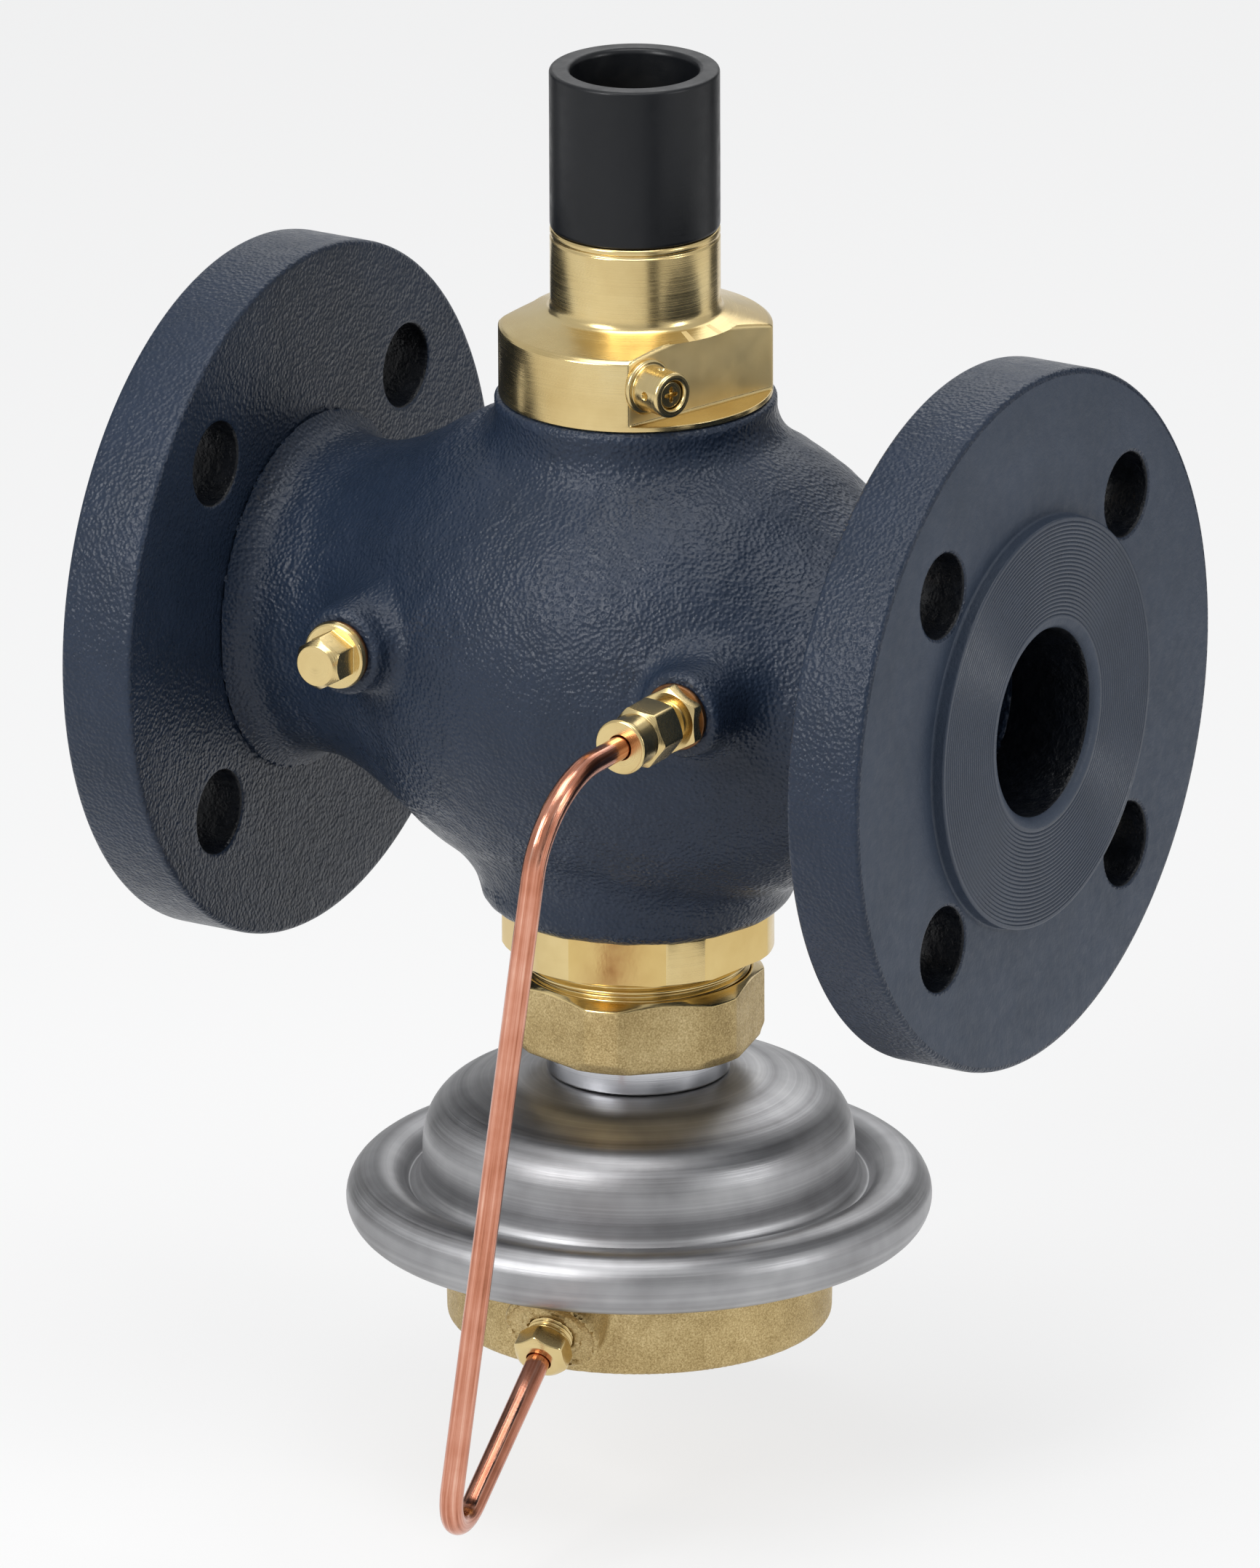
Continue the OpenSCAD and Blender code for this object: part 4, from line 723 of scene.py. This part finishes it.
# Regulator casing
# Steel sheet spun to a dome with a round shoulder. Its rim is rolled over the edge of the cast
# base and clamps the diaphragm.
def arc(centre, radius, start, end, count):
    """Corners on a circle: centre + radius (cos a, sin a), a in degrees from start to end."""
    return [(centre[0] + radius * np.cos(a), centre[1] + radius * np.sin(a), 0)
            for a in np.radians(np.linspace(start, end, count))]


rim_middle = (55.5, -122.5)
dome = turned("regulator_casing", "upper_casing",
    [(12.1, -94, 0), (20, -94.05, 2), (29, -95.2, 3), (35.5, -97.2, 3.5), (42.4, -100.3, 4),
     (46.1, -106.6, 4.5), (46.2, -115.6, 1.8), (47.2, -118.2, 1), (49.0, -119.3, 0.5)]
    + arc(rim_middle, 7, 148, -205, 40)
    + arc(rim_middle, 5.4, -205, 140, 30)
    + [(47.0, -120.9, 0.5), (44.3, -118.6, 1), (44.2, -107, 4), (41.2, -102.1, 4),
       (34.8, -99.2, 3), (28.6, -97.2, 3), (20, -96.05, 2), (12.1, -96, 0)],
    even, steps=5, crease=50)
steel = Finish("spun_steel", Metallic=1.0, Anisotropic=0.5)
rings = lathe_place(steel, (0, 0, 0))
brush = steel.noise(3800, 3, 0.7, rings)
bands = steel.noise(260, 4, 0.7, rings)
tone = steel.sum(steel.spread(steel.noise(30, 4, 0.6), 0, 0.5), steel.spread(bands, 0, 0.5))
steel.colours(tone, (0.1, 128, 127, 128), (0.5, 164, 164, 166), (0.9, 196, 196, 197))
steel.gloss(steel.sum(steel.spread(brush, 0.32, 0.46), steel.spread(steel.noise(70, 3), 0, 0.08)))
steel.relief((brush, 0.015), (steel.noise(500, 2, place=rings), 0.02),
             (steel.noise(900, 3), 0.01))
steel.dress(dome)


# Cast base
# Brass casting under the rim, blasted matt, with a boss whose spot face is milled for the lower
# connection.
lower_tilt, lower_bearing = np.radians([30, 7.4])
lower_way = direction(lower_bearing, -lower_tilt)
lower_root = np.array([41.5 * np.sin(lower_bearing), -41.5 * np.cos(lower_bearing), -134.8])


def base_field(x, y, z):
    """Round wall with a rounded foot, the boss blended into it, the clamped flange, less the inner
    room, the spot face and the threaded hole."""
    radius = np.hypot(x, y)
    along = sum(w * (v - r) for w, v, r in zip(lower_way, (x, y, z), lower_root))
    aside = np.sqrt(np.maximum((x - lower_root[0]) ** 2 + (y - lower_root[1]) ** 2
                               + (z - lower_root[2]) ** 2 - along ** 2, 0))
    wall = radius - 41.5 - 0.02 * (z + 127.2)
    boss = aside - 10.4 - 0.15 * np.sin(1.1 * x + 2) * np.sin(0.9 * z)
    boss = round_cut(np.maximum(boss, np.maximum(-9 - along, z + 129.8)), along - 7.4, 0.5)
    body = fillet_union(wall, boss, 1.6)
    body = round_cut(body, -149.3 - z, 1.6)
    body = np.maximum(body, z + 124)
    edge = np.maximum(np.maximum(radius - 56.4, z + 123), -127.2 - z)
    body = fillet_union(body, edge, 0.8)
    room = np.maximum(radius - 36.5, -144.3 - z)
    body = np.maximum(body, -np.maximum(room, -np.maximum(aside - 10.4, -along - 9)))
    body = np.maximum(body, -np.maximum(np.abs(aside - 8.05) - 1.45, 6.6 - along))
    return np.maximum(body, -np.maximum(aside - 5, np.abs(along) - 21))


base = piece("cast_base", *skin_of(base_field, (-57.6, -57.6, -150.4), (57.9, 57.9, -122), 0.85),
             crease=40)
stand_in(base, "base_casing")
cast_brass.dress(base)


# Impulse pipe
# Soft copper, 5 mm across, drawn and bent round a former: it brings the outlet's pressure to the
# room under the diaphragm.
upper_start = np.array([40.5, -75.8, 7.0])
lower_end = lower_root + 15.1 * lower_way
corners = [upper_start + [0, 14.8, 0], upper_start + [0, -30.7, 0], lower_end + 60 * lower_way,
           lower_end - 7.4 * lower_way]


def bent_path(corners, radii, spacing):
    """Middle line through corners, each replaced by an arc of its radius: about the centre m on the
    bisector, m + ((c - m) turned from the first tangent point to the second)."""
    def straight(start, end):
        run = int(np.linalg.norm(end - start) / (3 * spacing)) + 1
        return start + (end - start) * np.linspace(0, 1, run + 1)[1:, None]

    path = [corners[0][None]]
    for a, c, b, radius in zip(corners, corners[1:], corners[2:], radii):
        u, v = (a - c) / np.linalg.norm(a - c), (b - c) / np.linalg.norm(b - c)
        half = np.arccos(u @ v) / 2
        first, second = c + u * radius / np.tan(half), c + v * radius / np.tan(half)
        middle = c + (u + v) / np.linalg.norm(u + v) * radius / np.sin(half)
        turn = np.pi - 2 * half
        s = np.linspace(0, 1, int(turn * radius / spacing) + 2)[:, None]
        arc_points = middle + ((first - middle) * np.sin((1 - s) * turn)
                               + (second - middle) * np.sin(s * turn)) / np.sin(turn)
        path += [straight(path[-1][-1], first)[:-1], arc_points]
    return np.concatenate(path + [straight(path[-1][-1], corners[-1])])


def drawn_tube(path, radius, sides):
    """Ring of points, path + radius (cos b side + sin b up), carried along the path. Side is the
    X direction less its share along the path, and up is square to both. Each end is closed."""
    way = np.gradient(path, axis=0)
    way /= np.linalg.norm(way, axis=1, keepdims=True)
    side = np.array([1.0, 0, 0]) - way[:, :1] * way
    side /= np.linalg.norm(side, axis=1, keepdims=True)
    up = np.cross(way, side)
    b = 2 * np.pi * np.arange(sides) / sides
    rings = (path[:, None] + radius * (np.cos(b)[:, None] * side[:, None]
                                       + np.sin(b)[:, None] * up[:, None]))
    index = np.arange(len(path) * sides).reshape(-1, sides)
    points = np.concatenate([rings.reshape(-1, 3), path[:1], path[-1:]])
    ends = [fan(len(points) - 2, index[0]), fan(len(points) - 1, index[-1, ::-1])]
    return points, grid_quads(index).reshape(-1, 4), np.concatenate(ends)


pipe = piece("impulse_pipe_tube", *drawn_tube(bent_path(corners, (20, 12), 0.7), 2.5, 40),
             crease=60)
stand_in(pipe, "impulse_pipe")
pipe_sides, pipe_rings = 40, len(pipe.data.vertices) // 40
corner_points = np.zeros(len(pipe.data.loops), np.int32)
pipe.data.loops.foreach_get("vertex_index", corner_points)
column, ring = corner_points % pipe_sides, corner_points // pipe_sides
starts = np.zeros(len(pipe.data.polygons), np.int32)
pipe.data.polygons.foreach_get("loop_start", starts)
lowest, highest = (np.repeat(edge.reduceat(column, starts), np.diff(np.append(starts, len(column))))
                   for edge in (np.minimum, np.maximum))
column = np.where((highest - lowest > 2) & (column == 0), pipe_sides, column)
unrolled = pipe.data.uv_layers.new(name="unrolled")
unrolled.data.foreach_set("uv", np.column_stack([column / pipe_sides, ring / pipe_rings])
                          .astype(np.float32).ravel())
copper = Finish("drawn_copper", Metallic=1.0)
split = copper.node("ShaderNodeSeparateXYZ",
                    Vector=copper.node("ShaderNodeTexCoord").outputs["UV"])
round_it = copper.sum(split.outputs["X"], 2 * np.pi, "MULTIPLY")
round_pipe = copper.node("ShaderNodeCombineXYZ", X=worked_out(copper.tree, "COSINE", round_it),
                         Y=worked_out(copper.tree, "SINE", round_it),
                         Z=copper.sum(split.outputs["Y"], 1.6, "MULTIPLY"))
streaks = copper.noise(3.2, 4, 0.65, round_pipe.outputs["Vector"])
tone = copper.sum(copper.spread(streaks, 0, 0.7), copper.spread(copper.noise(110, 5), 0, 0.3))
copper.colours(tone, (0.1, 148, 90, 66), (0.4, 196, 128, 102), (0.7, 220, 158, 134),
               (0.95, 240, 192, 170))
copper.gloss(copper.spread(streaks, 0.24, 0.12))
copper.relief((streaks, 0.12), (copper.noise(1500, 3), 0.012))
copper.dress(pipe)


# Connections
# Nuts and nipples turned from hexagon bar, on copper washers; a plug of the same kind closes the
# boss on the inlet side.
plug_axis, impulse_axis = [((at, -boss_face, boss_height), (0, -1, 0))
                           for at in (plug_at, impulse_at)]
lower_axis = (lower_root, lower_way)
washer_corners = [(4.5, 0, 0), (7.1, 0, 0.2), (7.3, 0.6, 0.3), (7.1, 1.2, 0.2), (4.5, 1.2, 0)]
plug_washer = turned("plug_washer_ring", "plug_washer", washer_corners, even[::2],
                     plug_axis)
upper_washer = turned("upper_washer_ring", "upper_washer", washer_corners, even[::2],
                      impulse_axis)
# Drawn along -Y, a hexagon with bearing 0 has corners above and below, and with 30 at both sides
plug_hexagon = (10, 5.76, 0)
plug_bearings = hexagon_bearings(*plug_hexagon)
plug_wall = hexagon_wall(plug_bearings, *plug_hexagon, 0.05)
plug = turned("plug_screw_head", "plug_screw", [
    (0, -9, 0), (4.4, -9, 0), (4.4, 1.2, 0), (7.2, 1.2, 0.1), (7.4, 1.5, 0.1), (7.1, 2.6, 0.25),
    (6.6, 2.75, 0.1), (plug_wall + 0.1, 2.75, 0.1), (plug_wall, 3.0, 0),
    (plug_wall, 10.1 - 1.35 * np.maximum(plug_wall - 4.3, 0), 0.12), (4.4, 10.05, 0.1),
    (4.2, 10.12, 0.1), (2.2, 10.1, 0), (0.7, 10.0, 0), (0, 9.9, 0)], plug_bearings, plug_axis)
nipple_hexagon = (13, 7.4, 0)
nipple_bearings = hexagon_bearings(*nipple_hexagon)
nipple = turned("upper_nipple_body", "upper_nipple", [
    (1.5, -9, 0), (4.4, -9, 0), (4.4, 1.2, 0)]
    + hexagon_outline(nipple_bearings, *nipple_hexagon, 1.2, 4.4, 7.3, 6.3, 4.45, 0.58, 0.12)[1:5]
    + [(4.6, 4.4, 0), (4.4, 4.8, 0.2), (4.4, 13, 0), (1.5, 13, 0)], nipple_bearings, impulse_axis)
upper_nut_hexagon = (12, 6.75, 22)
upper_nut_bearings = hexagon_bearings(*upper_nut_hexagon)
upper_nut = turned("upper_nut_body", "upper_nut", [(4.5, 8.0, 0)]
    + hexagon_outline(upper_nut_bearings, *upper_nut_hexagon, 8.0, 17.2, 5.1, 5.1, 4.5, 0.6,
                      0.12)[1:4]
    + [(5.5, 17.2, 0.1), (5.5, 22.1, 0.2), (5.9, 22.4, 0.2), (5.98, 23.4, 0.3), (5.6, 23.8, 0.25),
       (2.75, 23.8, 0.15), (2.6, 23.2, 0), (2.6, 9, 0), (4.5, 8.9, 0)],
    upper_nut_bearings, impulse_axis)
lower_nut_hexagon = (11, 6.15, 2)
lower_nut_bearings = hexagon_bearings(*lower_nut_hexagon)
lower_nut = turned("lower_nut_body", "lower_nut",
    hexagon_outline(lower_nut_bearings, *lower_nut_hexagon, 9.35, 15.1, 4.9, 4.4, 4.0, 0.75,
                    0.3)[:5]
    + [(2.75, 15.1, 0.15), (2.6, 14.5, 0), (2.6, 10.3, 0), (4.0, 10.2, 0)],
    lower_nut_bearings, lower_axis)
lower_nipple = piece("lower_nipple_body", *on_axis(thread(4.98, 1, 0.5, -4, 9.25, 72, 2.0),
                                                   *lower_axis))
stand_in(lower_nipple, "lower_nipple")
turned_brass("plug_brass", *plug_axis, 0.03).dress(plug)
turned_brass("fitting_brass", *impulse_axis, 0.01).dress(nipple, upper_nut)
turned_brass("lower_fitting_brass", *lower_axis, 0.01).dress(lower_nut, lower_nipple)
washer_copper = speckled(
    "washer_copper", (300, 3), ((0.3, 92, 64, 44), (0.7, 128, 92, 62)), (800, 2), (0.35, 0.5),
    (0.02, 2500, 2), Metallic=1.0)
washer_copper.dress(plug_washer, upper_washer)


# Vent
# Small brass valve in the front flat: a barrel with four drain holes, pressed in up to its
# collar, and a needle whose head lies in the barrel's mouth and has a cross recess.
along_flat = np.array([-flat_way[1], flat_way[0], 0])
vent_place = flat_reach * flat_way - 15.4 * along_flat + [0, 0, 56.9 + 9.7]
vent_axis = (vent_place, flat_way)
vent_bearings = 2 * np.pi * np.arange(160) / 160
barrel_points, *barrel_faces = revolved(rounded([
    (2.35, -4.9, 0), (3.9, -4.9, 0), (3.9, 0, 0), (5.75, 0, 0.1), (6, 0.35, 0.2), (5.95, 1.0, 0.2),
    (5.6, 1.3, 0.2), (4.95, 1.35, 0.15)] + [(4.9, z, 0) for z in np.arange(1.7, 7.2, 0.2)]
    + [(4.9, 8.9, 1.5), (3.4, 8.9, 0.3), (3.1, 8.4, 0.2), (3.1, 5.2, 0), (2.35, 5.2, 0)], 6),
    vent_bearings)
# The drain holes: the wall is drawn in by 1.5 mm within 0.75 mm of each of four places
barrel_bearings = np.degrees(np.arctan2(barrel_points[:, 1], barrel_points[:, 0]))
from_hole = ((barrel_bearings + 45) % 90 - 45) * 0.0855  # mm along a wall of radius 4.9
reach = np.hypot(from_hole, barrel_points[:, 2] - 5.1)
outside = np.hypot(barrel_points[:, 0], barrel_points[:, 1]) > 4.8
barrel_points[:, :2] *= (1 - outside * 0.3 * np.clip((0.85 - reach) / 0.2, 0, 1))[:, None]
vent_body = piece("vent_barrel", *on_axis((barrel_points, *barrel_faces), *vent_axis), crease=40)
nose = rounded([(0, -0.7, 0), (2.3, -0.7, 0), (2.3, 5.9, 0), (2.8, 5.9, 0.1), (2.8, 8.1, 0.3),
                (2.45, 8.1, 0)], 6)
face = np.linspace(2.4, 0, 30)
nose = np.concatenate([nose, np.stack([face, np.full(30, 8.1)], 1)[:, :, None]])
head_points, *head_faces = revolved(nose, vent_bearings)
# The recess: within a lobe radius of 1.2 (1 + 0.5 cos 4b) the end is pressed in by its depth
x, y, z = head_points.T
lobe = 1.2 * (1 + 0.5 * np.cos(4 * np.arctan2(y, x)))
recess_depth = 1.3
head_points[:, 2] -= (z > 7.5) * recess_depth * np.clip((lobe - np.hypot(x, y)) / 0.25, 0, 1)
vent_screw = piece("vent_needle_head", *on_axis((head_points, *head_faces), *vent_axis), crease=40)
stand_in(vent_body, "vent_body")
stand_in(vent_screw, "vent_screw", "vent_needle")
turned_brass("vent_brass", *vent_axis, 0.01).dress(vent_body, vent_screw)


# Inner works
# They keep their CAD shapes: seats, cones, seals, springs, the stems and the diaphragm.
ground = Finish("ground_steel", Metallic=1.0)
rings = lathe_place(ground, (0, 0, 0))
ground.colours(ground.noise(60, 3), (0.3, 170, 171, 174), (0.7, 192, 193, 196))
ground.gloss(ground.spread(ground.noise(4000, 2, place=rings), 0.16, 0.28))
ground.relief((ground.noise(4000, 2, place=rings), 0.008))
spring_steel = speckled(
    "spring_steel", (400, 3), ((0.3, 92, 94, 98), (0.7, 122, 124, 128)), (900, 2), (0.28, 0.42),
    (0.01, 1800, 2), Metallic=1.0)
rubber = speckled("rubber", (200, 3), ((0.3, 20, 20, 21), (0.7, 30, 30, 31)), (900, 2), (0.5, 0.7),
                  (0.03, 2200, 2))
ring_plastic = speckled(
    "ring_plastic", (80, 3), ((0.3, 176, 177, 174), (0.7, 194, 195, 191)), (500, 2), (0.4, 0.55),
    (0.02, 1500, 2))
for kit, names in (
        (stem_brass, "gland_nut stem_guide control_cone upper_ferrule lower_ferrule "
                     "regulator_cone"),
        (ground, "control_seat regulator_seat control_stem stem_clip spring_cup casing_nut "
                       "upper_plate lower_plate plate_nut regulator_stem"),
        (spring_steel, "stem_spring regulator_spring"),
        (rubber, "bonnet_seal stem_seal cone_seal insert_seal neck_seal diaphragm"),
        (ring_plastic, "setting_ring")):
    kit.dress(*[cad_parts[node] for node in names.split()])


# Studio
# A pale floor that keeps the object's shadow, a white surround for what the camera and the metal
# see, and large soft lamps on both sides and above.
def lamp(name, bearing, height, distance, width, tall, power):
    """Rectangular soft lamp that looks at the middle of the valve. Bearing is measured from the
    camera's side, both angles in degrees, sizes in metres."""
    light = bpy.data.lights.new(name, "AREA")
    light.shape, light.size, light.size_y, light.energy = "RECTANGLE", width, tall, power
    made = bpy.data.objects.new(name, light)
    scene.collection.objects.link(made)
    a, e = azimuth + np.radians(bearing), np.radians(height)
    toward = direction(a, e)
    side = np.array([np.cos(a), np.sin(a), 0])
    turn = Matrix(np.column_stack([side, np.cross(toward, side), toward])).to_4x4()
    middle = np.array([0.1, 0, -0.02])
    made.matrix_world = Matrix.Translation(middle + toward * distance) @ turn


lamp("left_softbox", -46, 30, 1.3, 0.45, 0.6, 8.4)
lamp("right_softbox", 60, 18, 1.5, 0.3, 0.5, 3.7)
lamp("top_softbox", -10, 78, 1.3, 1.0, 0.8, 9)
lamp("back_softbox", 165, 40, 1.6, 1.0, 0.8, 3.5)

def card(name, corners, material):
    """Flat rectangle of the studio."""
    mesh = bpy.data.meshes.new(name)
    mesh.from_pydata(corners, [], [(0, 1, 2, 3)])
    mesh.materials.append(material)
    made = bpy.data.objects.new(name, mesh)
    scene.collection.objects.link(made)
    return made


def white_when_seen(tree, shader, kind, camera_share, mirror_share):
    """Mixes a shader with white of strength 1: one share of it for camera rays, another for glossy
    and transmission rays."""
    ray = add_node(tree, "ShaderNodeLightPath").outputs
    mirrored = worked_out(tree, "MAXIMUM", ray["Is Glossy Ray"], ray["Is Transmission Ray"])
    share = worked_out(tree, "MAXIMUM",
                       worked_out(tree, "MULTIPLY", ray["Is Camera Ray"], camera_share),
                       worked_out(tree, "MULTIPLY", mirrored, mirror_share))
    white = add_node(tree, kind, Color=(1, 1, 1, 1), Strength=1.0)
    return add_node(tree, "ShaderNodeMixShader", i0=share, i1=shader.outputs[0],
                    i2=white.outputs[0])


floor_paint = bpy.data.materials.new("pale_floor")
floor_paint.use_nodes = True
paint_tree = floor_paint.node_tree
matt = paint_tree.nodes["Principled BSDF"]
matt.inputs["Base Color"].default_value = (0.9, 0.9, 0.9, 1)
matt.inputs["Roughness"].default_value = 0.9
shown = white_when_seen(paint_tree, matt, "ShaderNodeEmission", 0.72, 0.72)
paint_tree.links.new(shown.outputs[0], paint_tree.nodes["Material Output"].inputs["Surface"])
floor_height, floor_half = -0.1835, 14
floor = card("floor", [(x * floor_half, y * floor_half, floor_height)
                       for x, y in ((-1, -1), (1, -1), (1, 1), (-1, 1))], floor_paint)


def flag(name, bearing, distance, width, tall):
    """Black card that stands on the floor beside the valve and shows only in its reflections."""
    a = azimuth + np.radians(bearing)
    toward, side = direction(a, 0), np.array([np.cos(a), np.sin(a), 0])
    middle = np.array([0.1, 0, floor_height + tall / 2 + 0.001]) + toward * distance
    half = np.array([0, 0, tall / 2])
    made = card(name, [tuple(middle + s * side * width / 2 + t * half)
                       for s, t in ((-1, -1), (1, -1), (1, 1), (-1, 1))], card_black)
    made.visible_camera = made.visible_diffuse = made.visible_shadow = False


card_black = bpy.data.materials.new("card_black")
card_black.use_nodes = True
black = card_black.node_tree.nodes["Principled BSDF"]
black.inputs["Base Color"].default_value = (0.06, 0.06, 0.06, 1)
flag("middle_flag", 24, 0.62, 0.17, 0.5)
flag("right_flag", 132, 0.62, 0.3, 0.5)
flag("left_flag", -136, 0.62, 0.3, 0.5)

world = bpy.data.worlds.new("surround")
scene.world = world
world.use_nodes = True
sky = world.node_tree
sky.nodes["Background"].inputs["Color"].default_value = (0.62, 0.64, 0.67, 1)
sky.nodes["Background"].inputs["Strength"].default_value = 0.36
shown = white_when_seen(sky, sky.nodes["Background"], "ShaderNodeBackground", 1.0, 0.5)
sky.links.new(shown.outputs[0], sky.nodes["World Output"].inputs["Surface"])
